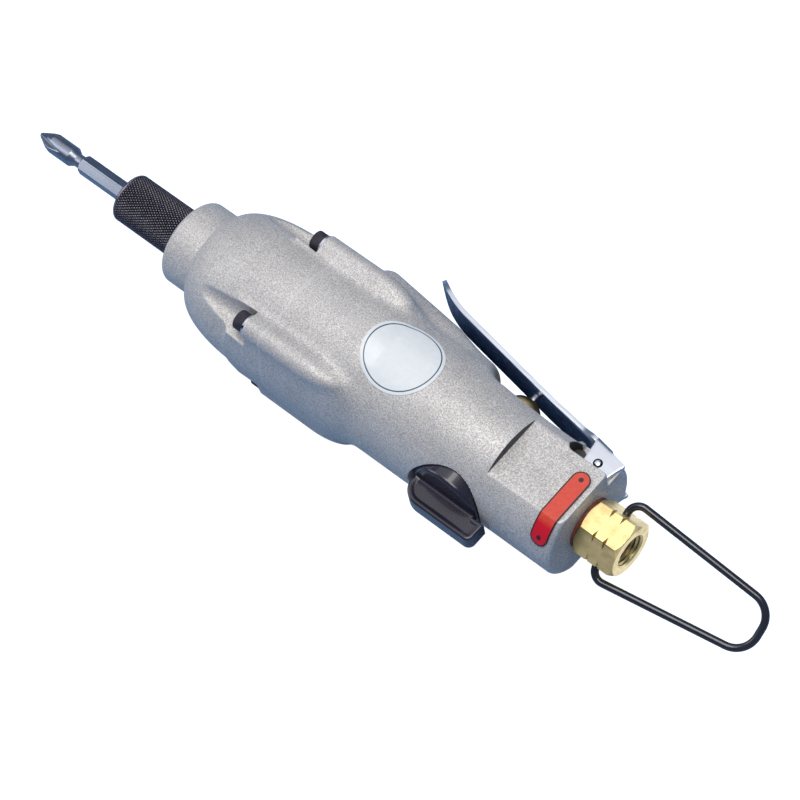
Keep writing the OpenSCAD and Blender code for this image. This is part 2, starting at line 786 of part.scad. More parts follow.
// Two swinging dogs, each with a half-round hollow over the spindle
module hammer_dogs() color([0.55, 0.55, 0.57]) {
    reach = cage_bore_r * 2;
    for (i = [0:dog_count - 1]) {
        dog_x = dog_room_x + dog_gap + i * (dog_len + dog_gap);
        mirror([0, 0, i]) difference() {
            intersection() {
                x_rod(dog_x, dog_len, cage_bore_r - run_gap);
                along_x(dog_x) linear_extrude(dog_len) polygon([[0, 0],
                    reach * [-cos(dog_spread), sin(dog_spread)],
                    [-reach, 0],
                    reach * [-cos(dog_spread), -sin(dog_spread)]]);
            }
            x_rod(dog_x - cut, dog_len + 2 * cut, dog_bore_r);
            translate([0, 0, dog_pin_circle_r])
                x_rod(dog_x - cut, dog_len + 2 * cut, dog_pin_r + seat_gap);
        }
    }
}

module hammer_pins() color(bright_steel) {
    for (side = [-1, 1]) {
        translate([0, 0, side * dog_pin_circle_r]) x_rod(cage_x, cage_len, dog_pin_r);
    }
}

// One end plate with its bearing's room towards -X
module end_plate() {
    difference() {
        x_rod(0, plate_t, liner_r);
        x_rod(-cut, bearing_w + cut, bearing_r + seat_gap);
        x_rod(-cut, plate_t + 2 * cut, shaft_hole_r);
        translate([0, motor_pin_y, 0]) x_rod(-cut, plate_t + 2 * cut, motor_pin_r + seat_gap);
    }
}

module front_end_plate() color([0.5, 0.5, 0.52]) {
    translate([front_end_x, 0, 0]) end_plate();
}

module rear_end_plate() color([0.5, 0.5, 0.52]) {
    translate([motor_end_x, 0, 0]) mirror([1, 0, 0]) end_plate();
}

module motor_cylinder() color([0.6, 0.6, 0.62]) {
    difference() {
        x_rod(liner_x, liner_len, liner_r);
        translate([0, liner_offset, 0]) x_rod(liner_x - cut, liner_len + 2 * cut, liner_bore_r);
        translate([0, motor_pin_y, 0]) x_rod(liner_x - cut, liner_len + 2 * cut,
            motor_pin_r + seat_gap);
    }
}

module cylinder_pin() color(bright_steel) {
    start_x = front_end_x + motor_pin_inset;
    translate([0, motor_pin_y, 0])
        x_rod(start_x, motor_end_x - motor_pin_inset - start_x, motor_pin_r);
}

module rotor() color([0.7, 0.7, 0.72]) {
    start_x = cage_end_x - cage_drive_t + cut;
    difference() {
        union() {
            x_rod(liner_x + run_gap, liner_len - 2 * run_gap, rotor_r);
            x_rod(start_x, motor_end_x - free_gap - start_x, shaft_r);
        }
        for (i = [0:vane_count - 1]) {
            rotate([360 * i / vane_count, 0, 0])
                translate([liner_x - cut, vane_root_r, -vane_t / 2 - run_gap])
                cube([liner_len + 2 * cut, rotor_r, vane_t + 2 * run_gap]);
        }
    }
}

module rotor_vanes() color([0.45, 0.28, 0.16]) {
    for (i = [0:vane_count - 1]) {
        rotate([360 * i / vane_count, 0, 0])
            translate([liner_x + 2 * run_gap, vane_root_r + run_gap, -vane_t / 2])
            cube([liner_len - 4 * run_gap, rotor_r - vane_root_r - 2 * run_gap, vane_t]);
    }
}

// Puts a copy at the front of each ball bearing
module at_bearings() {
    for (x = [front_end_x, motor_end_x - bearing_w]) {
        translate([x, 0, 0]) children();
    }
}

module bearing_outer_rings() color(bright_steel) {
    at_bearings() difference() {
        x_rod(0, bearing_w, bearing_r);
        x_rod(-cut, bearing_w + 2 * cut, outer_ring_r);
    }
}

module bearing_inner_rings() color(bright_steel) {
    at_bearings() difference() {
        x_rod(0, bearing_w, inner_ring_r);
        x_rod(-cut, bearing_w + 2 * cut, shaft_r + seat_gap);
    }
}

module bearing_balls() color(bright_steel) {
    at_bearings() for (i = [0:bearing_balls_n - 1]) {
        rotate([360 * i / bearing_balls_n, 0, 0])
            translate([bearing_w / 2, ball_circle_r, 0]) sphere(r = ball_r, $fn = 24);
    }
}

// Height of the lever's underside at a distance from the pin towards the tip
function lever_y(reach) = lever_under_y + reach * tan(lever_slope)
    + lever_curl * pow(max(0, (reach / lever_reach - curl_start_share) / (1 - curl_start_share)), 2);

// Distances from the pin at which the lever's outline has a point
lever_stations = concat([-lever_tail, lever_reach * curl_start_share],
    [for (i = [1:curve_steps])
        lever_reach * (curl_start_share + (1 - curl_start_share) * i / curve_steps)]);

// Outline of the blade seen from above, with a round tip and a wide rear end for the ears
module lever_plan() {
    tip_x = pin_x - lever_reach;
    half_w = lever_w / 2;
    translate([tip_x + half_w, 0]) circle(r = half_w);
    translate([tip_x + half_w, -half_w]) square([lever_reach - half_w, lever_w]);
    translate([pin_x - ear_front_high, -ear_out_z])
        square([ear_front_high + lever_tail, 2 * ear_out_z]);
}

module lever_ears() {
    top_front_y = lever_y(ear_front_high) + lever_t / 2;
    top_rear_y = lever_y(-lever_tail) + lever_t / 2;
    low_y = pin_y - ear_bottom;
    for (side = [0, 1]) {
        mirror([0, 0, side]) translate([0, 0, ear_z]) linear_extrude(lever_t) difference() {
            polygon([[pin_x - ear_front_low, low_y], [pin_x + ear_rear_low, low_y],
                [pin_x + lever_tail, top_rear_y], [pin_x - ear_front_high, top_front_y]]);
            translate([pin_x, pin_y]) circle(r = pin_r + run_gap);
        }
    }
}

module throttle_lever() color([0.62, 0.66, 0.74]) {
    under = [for (s = lever_stations) [pin_x - s, lever_y(s)]];
    over = [for (i = [len(lever_stations) - 1:-1:0]) let (s = lever_stations[i])
        [pin_x - s, lever_y(s) + lever_t]];
    intersection() {
        translate([0, 0, -ear_out_z]) linear_extrude(2 * ear_out_z) polygon(concat(under, over));
        translate([0, 2 * knob_edge_y, 0]) rotate([90, 0, 0]) linear_extrude(2 * knob_edge_y)
            lever_plan();
    }
    lever_ears();
}

module lever_pin() color(bright_steel) {
    z_rod(pin_x, pin_y, -pin_end_z, 2 * pin_end_z, pin_r);
}

module valve_cap() color(brass_yellow) {
    dome_y = land_y + cap_base_t;
    difference() {
        y_turned(valve_x, concat([[0, seat_top_y], [cap_thread_r, seat_top_y],
            [cap_thread_r, land_y], [cap_r, land_y]],
            [for (i = [0:curve_steps]) let (a = 90 * i / curve_steps)
                [cap_r * cos(a), dome_y + (cap_top_y - dome_y) * sin(a)]]));
        y_rod(valve_x, seat_top_y - cut, cap_top_y, stem_r + run_gap);
        y_rod(valve_x, seat_top_y - cut, cap_spigot_len + cut, cap_room_r);
    }
}

module valve_stem() color(bright_steel) {
    y_rod(valve_x, valve_head_y - valve_head_t, stem_top_y - valve_head_y + valve_head_t, stem_r);
    y_rod(valve_x, valve_head_y - valve_head_t, valve_head_t, valve_head_r);
}

module valve_seat() color(rubber_black) {
    difference() {
        y_rod(valve_x, seat_top_y - seat_t, seat_t, chamber_r);
        y_rod(valve_x, seat_top_y - seat_t - cut, seat_t + 2 * cut, seat_hole_r);
    }
}

module valve_spring() color(bright_steel) {
    translate([valve_x, valve_floor_y, 0]) rotate([-90, 0, 0])
        spring(valve_head_r - 2 * valve_spring_wire_r, valve_spring_wire_r,
            valve_head_y - valve_head_t - valve_floor_y, valve_spring_turns);
}

// Side outline of the finger bar, its large rounding at the front and a small one at the rear
module knob_bar_outline() {
    front_x = valve_x - knob_bar_front;
    rear_x = valve_x + knob_bar_rear;
    top_y = -knob_top_y - knob_disc_t + cut;
    translate([front_x, -knob_edge_y + bar_front_r])
        square([knob_bar_front + knob_r - cut, knob_edge_y - bar_front_r + top_y]);
    translate([front_x + bar_front_r, -knob_edge_y + bar_front_r]) circle(r = bar_front_r);
    translate([front_x + bar_front_r, -knob_edge_y])
        square([rear_x - bar_rear_r - front_x - bar_front_r, bar_front_r + cut]);
    translate([rear_x - bar_rear_r, -knob_edge_y + bar_rear_r]) circle(r = bar_rear_r);
    translate([valve_x, -knob_edge_y + bar_rear_r])
        square([knob_bar_rear, knob_edge_y - bar_rear_r - bar_lift_y]);
}

module reverse_knob() color([0.10, 0.09, 0.12]) {
    difference() {
        union() {
            y_turned(valve_x, concat([[0, -knob_top_y - knob_disc_t]],
                arc_points([knob_r - knob_edge, -knob_top_y - knob_disc_t + knob_edge],
                    knob_edge, 270, 360, edge_steps),
                [[knob_r, -knob_top_y], [0, -knob_top_y]]));
            translate([0, 0, -knob_bar_w / 2]) linear_extrude(knob_bar_w) knob_bar_outline();
        }
        difference() {
            groove_half_w = detent_r + 2 * run_gap;
            groove_h = detent_step + 2 * run_gap + cut;
            y_rod(valve_x, cut - knob_top_y - groove_h, groove_h, detent_circle_r + groove_half_w);
            y_rod(valve_x, -2 * knob_top_y, 3 * knob_top_y, detent_circle_r - groove_half_w);
        }
        translate([valve_x - spool_tang / 2, -knob_top_y - spool_tang_len - seat_gap,
            -spool_tang / 2]) cube([spool_tang, knob_top_y, spool_tang]);
    }
}

module reverse_spool() color(bright_steel) {
    body_len = knob_seat_y + spool_top_y;
    tang = spool_tang - 2 * seat_gap;
    difference() {
        union() {
            y_rod(valve_x, -knob_seat_y, body_len, spool_r);
            translate([valve_x - tang / 2, -knob_top_y - spool_tang_len, -tang / 2])
                cube([tang, spool_tang_len + cut, tang]);
        }
        spool_groove(spool_pin_y, 2 * (spool_pin_r + run_gap), spool_groove_r);
        spool_groove(oring_y, oring_groove_w, spool_r - 2 * oring_minor_r);
        translate([valve_x - spool_port_w / 2, -passage_r - spool_port_w, -2 * spool_r])
            cube([spool_port_w, spool_port_w + passage_r, 4 * spool_r]);
    }
}

// Ring-shaped cut in the spool
module spool_groove(y, w, r) {
    difference() {
        y_rod(valve_x, y - w / 2, w, spool_r + cut);
        y_rod(valve_x, y - w, 2 * w, r);
    }
}

module spool_oring() color(rubber_black) {
    translate([valve_x, oring_y, 0]) rotate([-90, 0, 0]) rotate_extrude()
        translate([spool_r - oring_minor_r, 0]) circle(r = oring_minor_r, $fn = 24);
}

module spool_pin() color(bright_steel) {
    start_z = -sqrt(tail_r * tail_r - spool_pin_y * spool_pin_y) + free_gap;
    z_rod(spool_pin_x, spool_pin_y, start_z, spool_r - free_gap - start_z, spool_pin_r);
}

module detent_ball() color(bright_steel) {
    translate([valve_x + detent_circle_r, detent_y, 0]) sphere(r = detent_r);
}

module detent_spring() color(bright_steel) {
    start_y = detent_y + detent_r;
    translate([valve_x + detent_circle_r, start_y, 0]) rotate([-90, 0, 0])
        spring(detent_r - 2 * detent_spring_wire_r, detent_spring_wire_r,
            detent_hole_len - knob_seat_y - start_y, detent_spring_turns);
}

module inlet_bushing() color(brass_yellow) {
    difference() {
        union() {
            x_rod(spigot_x, hex_x - spigot_x + cut, inlet_spigot_r);
            intersection() {
                x_hex(hex_x, inlet_end_x - hex_x, inlet_flats, hanger_roll);
                x_turned([[hex_x, 0], [hex_x, hex_edge_r], [hex_x + hex_chamfer, hex_skirt_r],
                    [inlet_end_x - hex_chamfer, hex_skirt_r], [inlet_end_x, hex_edge_r],
                    [inlet_end_x, 0]]);
            }
        }
        x_rod(inlet_end_x - inlet_bore_len, inlet_bore_len + cut, inlet_bore_r);
        x_rod(spigot_x - cut, inlet_end_x - spigot_x, inlet_through_r);
        for (share = nick_shares) {
            difference() {
                x_rod(hex_x + (inlet_end_x - hex_x) * share - nick_w / 2, nick_w, 2 * nick_r);
                x_rod(hex_x, inlet_end_x - hex_x, nick_r);
            }
        }
        for (side = [0, 180]) {
            rotate([hanger_roll + side, 0, 0])
                y_rod(hinge_x, hinge_depth, inlet_flats, hinge_hole_r);
        }
    }
}

module inlet_seal() color([0.35, 0.16, 0.12]) {
    difference() {
        x_rod(housing_len, inlet_seal_t, inlet_flats / 2);
        x_rod(housing_len - cut, inlet_seal_t + 2 * cut, inlet_spigot_r + seat_gap);
    }
}

module inlet_screen() color(bright_steel) {
    difference() {
        x_rod(screen_x, spigot_x - screen_x, screen_r);
        x_rod(screen_x + screen_t, spigot_x - screen_x, screen_r - screen_t);
        x_rod(screen_x - cut, screen_t + 2 * cut, screen_hole_r);
        for (a = [0:60:300]) {
            rotate([a, 0, 0]) translate([0, screen_hole_circle_r, 0])
                x_rod(screen_x - cut, screen_t + 2 * cut, screen_hole_r);
        }
    }
}

// Places and headings along a bend of a flat route, from the corner that it rounds
function bend_stations(corner, heading, turn, r) =
    let (side = sign(turn), start = corner - r * tan(abs(turn) / 2) * [cos(heading), sin(heading)],
        centre = start + side * r * [-sin(heading), cos(heading)])
    [for (j = [0:edge_steps]) let (h = heading + turn * j / edge_steps)
        [centre + side * r * [sin(h), -cos(h)], h]];

// Turn from one heading to the next, between -180 and 180 degrees
function turn_between(from, to) = (to - from + 540) % 360 - 180;

// Wire in the XY plane as one tube through points, each inner point with its bend's radius
module bent_wire(points, bends, r) {
    sides = 16;
    last = len(points) - 1;
    headings = [for (i = [0:last - 1]) let (run = points[i + 1] - points[i])
        atan2(run[1], run[0])];
    stations = concat([[points[0], headings[0]]],
        [for (i = [1:last - 1]) each bend_stations(points[i], headings[i - 1],
            turn_between(headings[i - 1], headings[i]), bends[i - 1])],
        [[points[last], headings[last - 1]]]);
    rings = [for (s = stations) each [for (k = [0:sides - 1]) let (b = 360 * k / sides)
        [s[0][0] - r * cos(b) * sin(s[1]), s[0][1] + r * cos(b) * cos(s[1]), r * sin(b)]]];
    end = len(rings) - sides;
    walls = [for (i = [0:len(stations) - 2], k = [0:sides - 1])
        let (a = i * sides + k, b = i * sides + (k + 1) % sides)
        each [[a, a + sides, b + sides], [a, b + sides, b]]];
    caps = [for (k = [1:sides - 2]) each [[0, k, k + 1], [end, end + k + 1, end + k]]];
    polyhedron(rings, concat(walls, caps));
}

module hanger_bail() color(black_steel) {
    pin_end = hinge_depth + run_gap;
    rotate([hanger_roll, 0, 0]) translate([hinge_x, 0, 0]) rotate([0, hanger_tilt, 0]) bent_wire([
        [0, pin_end], [0, hanger_half_w],
        [hanger_len, hanger_end_half_w], [hanger_len, -hanger_end_half_w],
        [0, -hanger_half_w], [0, -pin_end]],
        [hanger_bend_r, hanger_end_r, hanger_end_r, hanger_bend_r], wire_r);
}

module round_label() color([0.93, 0.94, 0.95]) {
    half_w = waist_r * sin(label_r / waist_r * 180 / PI);
    outline = [for (a = [0:7.5:352.5]) [label_x + label_r * cos(a), half_w * sin(a)]];
    rotate([-label_roll, 0, 0]) intersection() {
        difference() {
            x_turned(tail_outline(label_t));
            x_turned(tail_outline(0));
        }
        linear_extrude(2 * bulb_r) polygon(outline);
    }
}

module red_strip() color([0.80, 0.16, 0.12]) {
    centre_x = housing_len - strip_inset - strip_w / 2;
    end_y = -tail_r * sin(strip_end_angle);
    intersection() {
        difference() {
            tail_skin(label_t);
            tail_skin(0);
        }
        linear_extrude(2 * tail_r) union() {
            translate([centre_x, strip_top_y - strip_w / 2]) circle(r = strip_w / 2);
            translate([centre_x - strip_w / 2, end_y])
                square([strip_w, strip_top_y - strip_w / 2 - end_y]);
        }
    }
}

front_housing();
rear_housing();
housing_gasket();
case_screws();
lock_washers();
front_bushing();
anvil_spindle();
chuck_sleeve();
sleeve_spring();
sleeve_ring();
bit_ball();
driver_bit();
hammer_cage();
hammer_dogs();
hammer_pins();
front_end_plate();
rear_end_plate();
motor_cylinder();
cylinder_pin();
rotor();
rotor_vanes();
bearing_outer_rings();
bearing_inner_rings();
bearing_balls();
throttle_lever();
lever_pin();
valve_cap();
valve_stem();
valve_seat();
valve_spring();
reverse_knob();
reverse_spool();
spool_oring();
spool_pin();
detent_ball();
detent_spring();
inlet_bushing();
inlet_seal();
inlet_screen();
hanger_bail();
round_label();
red_strip();
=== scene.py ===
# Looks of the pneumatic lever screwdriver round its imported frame.
# Lengths in the helpers below are in millimetres and become metres when a mesh is made.
import json
import math
import bpy
import bmesh
import numpy as np
from mathutils import Matrix, Vector


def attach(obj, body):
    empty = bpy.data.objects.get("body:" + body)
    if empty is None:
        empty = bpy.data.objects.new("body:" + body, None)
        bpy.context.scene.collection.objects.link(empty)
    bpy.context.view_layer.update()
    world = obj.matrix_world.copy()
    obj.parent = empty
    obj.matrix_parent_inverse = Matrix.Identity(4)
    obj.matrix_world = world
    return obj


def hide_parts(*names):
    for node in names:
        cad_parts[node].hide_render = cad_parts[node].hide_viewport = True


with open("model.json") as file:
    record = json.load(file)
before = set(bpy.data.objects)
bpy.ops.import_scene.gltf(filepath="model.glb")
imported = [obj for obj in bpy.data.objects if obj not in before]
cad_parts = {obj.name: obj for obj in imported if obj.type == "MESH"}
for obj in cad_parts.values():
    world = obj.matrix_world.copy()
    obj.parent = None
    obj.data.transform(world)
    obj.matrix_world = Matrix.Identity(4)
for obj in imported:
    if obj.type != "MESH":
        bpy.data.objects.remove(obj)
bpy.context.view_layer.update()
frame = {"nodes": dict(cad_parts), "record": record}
nodes = frame["nodes"]
MM = 0.001
scene = bpy.context.scene

# -------- measures
# Places run from the collar's front face along X. Most are the frame's own; the screw seats, the
# lever's end, the bit's head, the label and the wire differ from it a little, for the look.
COLLAR_R, COLLAR_LEN, COLLAR_EDGE = 15.65, 13.4, 2.0
NECK_R, SWELL_LEN, BULB_R = 16.3, 26.6, 25.3
SEAM_X, BULB_END_X, WAIST_X, WAIST_R = 56.0, 84.0, 92.0, 23.8
TAPER_X, TAIL_X, TAIL_R, HOUSING_LEN, TAIL_EDGE = 114.0, 150.0, 20.4, 174.0, 1.6
FLAT_Z, FLAT_X = 16.7, 144.0
RIDGE_R, RIDGE_HALF, RIDGE_BLEND, FLAT_EDGE = 6.0, 6.5, 2.0, 0.35
RIDGE = [(69.0, 29.7 - RIDGE_R), (98.0, 26.4 - RIDGE_R), (119.0, 21.1 - RIDGE_R)]
LAND_X, LAND_Y, LAND_LEN, LAND_RISE, LAND_SOFT_X = 118.5, 15.5, 11.0, 7.0, 128.0
LAND_EDGE, LAND_SOFT, LAND_SOFT_LEN = 0.7, 1.8, 4.0
BOSS_X, BOSS_Y, ROUND_X = 158.0, 17.4, 169.6
SCREW_C = 26.8 * math.cos(math.radians(45))
SEAT_X, HEAD_X, HEAD_LEN, HEAD_R = 48.5, 47.6, 4.0, 3.5
BOLT_R, BOLT_END_X = 2.06, 71.1
RIB_R, RIB_X, RIB_FADE_X, RIB_FADE, RIB_BLEND = 4.3, 41.0, 71.7, 0.31, 4.5
# The trough before a screw's head: its edge's radius, wall and floor, and how fast they open
LANE_R, LANE_Y, LANE_OPEN, LANE_Z, LANE_FALL = 4.2, 14.3, 0.06, 13.0, 0.0926
# Half the gap between the two castings at the seam, and half the pressed gasket in it
SEAM_HALF, GASKET_HALF = 0.04, 0.035
BUSHING_R, DRIVE_X, DRIVE_R, MOTOR_R, MOTOR_END_X = 10.52, 19.0, 19.0, 19.62, 108.2
VALVE_X, PIN_X, PIN_Y, PIN_HOLE_R = 132.0, 167.0, 14.2, 1.62
# Radius and start of the tail's bores for the inlet and its screen, and the duct on to the valve
TAIL_BORES = [(8.02, 161.0), (6.42, 157.0)]
DUCT_R, DUCT_Y, DUCT_END = 2.4, 5.4, 158.0
# Radius, lowest and highest Y and edge of the valve's chamber, cap thread, port, spool and knob
VALVE_BORES = [(4.42, 3.0, 12.0, 0.3), (5.22, 10.6, math.inf, 0.3), (2.4, -3.0, 4.0, 0.3),
               (5.96, -math.inf, -1.6, 0.3), (13.9, -math.inf, -16.0, 0.4)]
SLOT_X, SLOT_Y, SLOT_END_R, WEB_Z = 159.85, 10.7, 2.3, 9.0
KNOB_Y, KNOB_R, KNOB_T, KNOB_EDGE_Y = -16.06, 13.5, 5.6, -30.0
ROLL, TILT = math.radians(33.5), math.radians(11.6)


# -------- mesh helpers
def new_mesh(name, points, faces, weld=0.0):
    """Mesh from points in millimetres. Points within weld become one and faces turn outwards."""
    mesh = bpy.data.meshes.new(name)
    mesh.from_pydata((np.asarray(points, float) * MM).tolist(), [], [list(f) for f in faces])
    if weld:
        bm = bmesh.new()
        bm.from_mesh(mesh)
        bmesh.ops.remove_doubles(bm, verts=bm.verts, dist=weld * MM)
        bmesh.ops.recalc_face_normals(bm, faces=bm.faces)
        bm.to_mesh(mesh)
        bm.free()
    return mesh


def store(mesh, name, values):
    """Keep one number per point, which a material reads by its name."""
    mesh.attributes.new(name, "FLOAT", "POINT").data.foreach_set("value", values)


def add_mesh(name, points, faces, material, body, stands_for=(), angle=40.0, weld=0.0):
    """Object from points in millimetres, smooth but for edges sharper than angle."""
    mesh = new_mesh(name, points, faces, weld)
    return add_object(name, mesh, material, body, stands_for, angle)


def add_object(name, mesh, material, body, stands_for=(), angle=40.0):
    mesh.polygons.foreach_set("use_smooth", [True] * len(mesh.polygons))
    mesh.set_sharp_from_angle(angle=math.radians(angle))
    mesh.materials.append(material)
    piece = bpy.data.objects.new(name, mesh)
    scene.collection.objects.link(piece)
    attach(piece, body)
    if stands_for:
        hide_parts(*stands_for)
    return piece


def join_meshes(parts):
    """One (points, faces) from several."""
    points, faces, base = [], [], 0
    for p, f in parts:
        points.append(np.asarray(p, float))
        faces += [[i + base for i in face] for face in f]
        base += len(p)
    return np.vstack(points), faces


def grid_faces(rows, cols, wrap_rows=False, wrap_cols=True, flip=False, base=0):
    """Quads between the points of a grid that is stored row by row from base on."""
    faces = []
    for i in range(rows if wrap_rows else rows - 1):
        a, b = base + i * cols, base + (i + 1) % rows * cols
        for k in range(cols if wrap_cols else cols - 1):
            m = (k + 1) % cols
            faces.append((a + k, a + m, b + m, b + k) if flip else (a + k, b + k, b + m, a + m))
    return faces


def end_faces(count, ring, flip=False):
    """Faces over the first and the last ring of a grid of count points."""
    first, last = tuple(range(ring)), tuple(range(count - ring, count))
    return [first, last[::-1]] if flip else [first[::-1], last]


def turn_grid(profile, sides, radius=None, closed=False, axis="x", centre=(0, 0, 0)):
    """Points and faces of a turned form. profile holds (place along the axis, radius).
    radius(place, radius, angle) may change the radius point by point. Round the x axis the angle
    runs from +Y towards +Z."""
    prof = np.asarray(profile, float)
    ang = np.arange(sides) * 2 * math.pi / sides
    place = np.repeat(prof[:, :1], sides, 1)
    rad = np.repeat(prof[:, 1:2], sides, 1)
    a = np.repeat(ang[None, :], len(prof), 0)
    if radius is not None:
        rad = radius(place, rad, a)
    pts = np.stack([place, rad * np.cos(a), rad * np.sin(a)], -1)
    pts = np.roll(pts, "xyz".index(axis), -1)
    return pts.reshape(-1, 3) + np.asarray(centre, float), grid_faces(len(prof), sides, closed)


def arc(cx, cy, r, start, end, steps):
    """Points of an arc between two angles in degrees."""
    return [(cx + r * math.cos(math.radians(start + (end - start) * i / steps)),
             cy + r * math.sin(math.radians(start + (end - start) * i / steps)))
            for i in range(steps + 1)]


# -------- distance fields
class Table:
    """Signed distance to a flat outline, kept on a fine grid and read by bilinear steps."""

    def __init__(self, outline, low, high, step=0.1):
        self.low, self.step = np.array(low, float), step
        self.n = [int(math.ceil((high[i] - low[i]) / step)) + 1 for i in (0, 1)]
        gx = low[0] + step * np.arange(self.n[0])
        gy = low[1] + step * np.arange(self.n[1])
        px, py = np.meshgrid(gx, gy, indexing="ij")
        best = np.full(px.shape, 1e9)
        inside = np.zeros(px.shape, bool)
        pts = np.asarray(outline, float)
        for (ax, ay), (bx, by) in zip(pts, np.roll(pts, -1, 0)):
            ex, ey = bx - ax, by - ay
            span = ex * ex + ey * ey
            if span < 1e-12:
                continue
            t = np.clip(((px - ax) * ex + (py - ay) * ey) / span, 0, 1)
            best = np.minimum(best, (px - ax - t * ex) ** 2 + (py - ay - t * ey) ** 2)
            if ay != by:
                cross = ((ay > py) != (by > py)) & (px < ex * (py - ay) / ey + ax)
                inside ^= cross
        self.grid = (np.where(inside, -1.0, 1.0) * np.sqrt(best)).astype(np.float32)

    def __call__(self, x, y):
        fx = np.clip((x - self.low[0]) / self.step, 0, self.n[0] - 1.001)
        fy = np.clip((y - self.low[1]) / self.step, 0, self.n[1] - 1.001)
        ix, iy = fx.astype(np.int32), fy.astype(np.int32)
        tx, ty = fx - ix, fy - iy
        g = self.grid
        low = g[ix, iy] * (1 - ty) + g[ix, iy + 1] * ty
        high = g[ix + 1, iy] * (1 - ty) + g[ix + 1, iy + 1] * ty
        return low * (1 - tx) + high * tx


def blend_min(a, b, k):
    h = np.maximum(k - np.abs(a - b), 0) / k
    return np.minimum(a, b) - h * h * k / 4


def blend_max(a, b, k):
    return -blend_min(-a, -b, k)


def cut(body, tool, k=0.5):
    """body with tool taken away, its edges rounded by about k."""
    return blend_max(body, -tool, k)


def capsule(x, y, z, a, b, r):
    """Distance to a rod with round ends from a to b."""
    a, b = np.array(a, float), np.array(b, float)
    d = b - a
    t = np.clip(((x - a[0]) * d[0] + (y - a[1]) * d[1] + (z - a[2]) * d[2]) / d.dot(d), 0, 1)
    return np.sqrt((x - a[0] - t * d[0]) ** 2 + (y - a[1] - t * d[1]) ** 2
                   + (z - a[2] - t * d[2]) ** 2) - r


def slab(v, low, high):
    """Distance to the room between two values of v."""
    return np.maximum(low - v, v - high)


def field_mesh(field, low, high, step):
    """Closed quads where field changes sign, each point then drawn onto the exact surface."""
    axes = [np.arange(low[i], high[i] + step, step, dtype=np.float32) for i in range(3)]
    grid = np.empty([len(a) for a in axes], np.float32)
    chunk = 24
    for i in range(0, len(axes[0]), chunk):
        x, y, z = np.meshgrid(axes[0][i:i + chunk], axes[1], axes[2], indexing="ij")
        grid[i:i + chunk] = field(x, y, z)
    inner = grid < 0
    shape = [n - 1 for n in grid.shape]
    corners = [(a, b, c) for a in (0, 1) for b in (0, 1) for c in (0, 1)]

    def corner(arr, c):
        return arr[c[0]:c[0] + shape[0], c[1]:c[1] + shape[1], c[2]:c[2] + shape[2]]

    count = np.zeros(shape, np.int8)
    for c in corners:
        count += corner(inner, c)
    mixed = (count > 0) & (count < 8)
    cells = np.argwhere(mixed)
    index = np.full(shape, -1, np.int64)
    index[mixed] = np.arange(len(cells))
    value = {c: corner(grid, c)[mixed] for c in corners}
    total = np.zeros((len(cells), 3))
    hits = np.zeros(len(cells))
    for c in corners:
        for axis in range(3):
            if c[axis]:
                continue
            d = list(c)
            d[axis] = 1
            v0, v1 = value[c], value[tuple(d)]
            cross = (v0 < 0) != (v1 < 0)
            t = np.where(cross, v0 / np.where(cross, v0 - v1, 1), 0)
            p = np.tile(np.array(c, float), (len(cells), 1))
            p[:, axis] = t
            total += p * cross[:, None]
            hits += cross
    verts = np.array(low) + (cells + total / hits[:, None]) * step
    for _ in range(3):
        x, y, z = verts.T
        d = field(x, y, z)
        e = step * 0.1
        g = np.stack([field(x + e, y, z) - field(x - e, y, z),
                      field(x, y + e, z) - field(x, y - e, z),
                      field(x, y, z + e) - field(x, y, z - e)], -1) / (2 * e)
        size = np.maximum((g * g).sum(1), 0.25)
        verts = verts - np.clip(d / size, -0.4 * step, 0.4 * step)[:, None] * g
    quads = []
    for axis in range(3):
        b, c = [i for i in range(3) if i != axis]
        lo = [slice(None)] * 3
        hi = [slice(None)] * 3
        lo[axis], hi[axis] = slice(0, -1), slice(1, None)
        for s in (lo, hi):
            s[b], s[c] = slice(1, -1), slice(1, -1)
        first, second = inner[tuple(lo)], inner[tuple(hi)]
        ijk = np.argwhere(first != second)
        if not len(ijk):
            continue
        starts = first[tuple(ijk.T)]
        ring = []
        for db, dc in ((0, 0), (1, 0), (1, 1), (0, 1)):
            cell = ijk.copy()
            cell[:, b] += db
            cell[:, c] += dc
            ring.append(index[tuple(cell.T)])
        quad = np.stack(ring, -1)
        flip = starts if axis != 1 else ~starts
        quad[~flip] = quad[~flip][:, ::-1]
        quads.append(quad)
    return verts, np.vstack(quads)


def field_object(name, field, low, high, step, material, body, stands_for, plane=None,
                 keep=1, angle=50.0):
    """Piece from a distance field. plane gives a place along X at which it is cut off flat, and
    keep says which side stays."""
    verts, quads = field_mesh(field, low, high, step)
    mesh = bpy.data.meshes.new(name)
    mesh.vertices.add(len(verts))
    mesh.vertices.foreach_set("co", (verts * MM).astype(np.float32).ravel())
    mesh.loops.add(quads.size)
    mesh.loops.foreach_set("vertex_index", quads.astype(np.int32).ravel())
    mesh.polygons.add(len(quads))
    mesh.polygons.foreach_set("loop_start", np.arange(0, quads.size, 4, dtype=np.int32))
    mesh.update(calc_edges=True)
    mesh.validate()
    if plane is not None:
        bm = bmesh.new()
        bm.from_mesh(mesh)
        geom = bm.verts[:] + bm.edges[:] + bm.faces[:]
        made = bmesh.ops.bisect_plane(bm, geom=geom, dist=1e-7, plane_co=(plane * MM, 0, 0),
                                      plane_no=(-keep, 0, 0), clear_outer=True)
        rim = [g for g in made["geom_cut"] if isinstance(g, bmesh.types.BMEdge)]
        bmesh.ops.triangle_fill(bm, edges=rim, use_beauty=True, normal=(-keep, 0, 0))
        bm.to_mesh(mesh)
        bm.free()
    return add_object(name, mesh, material, body, stands_for, angle)


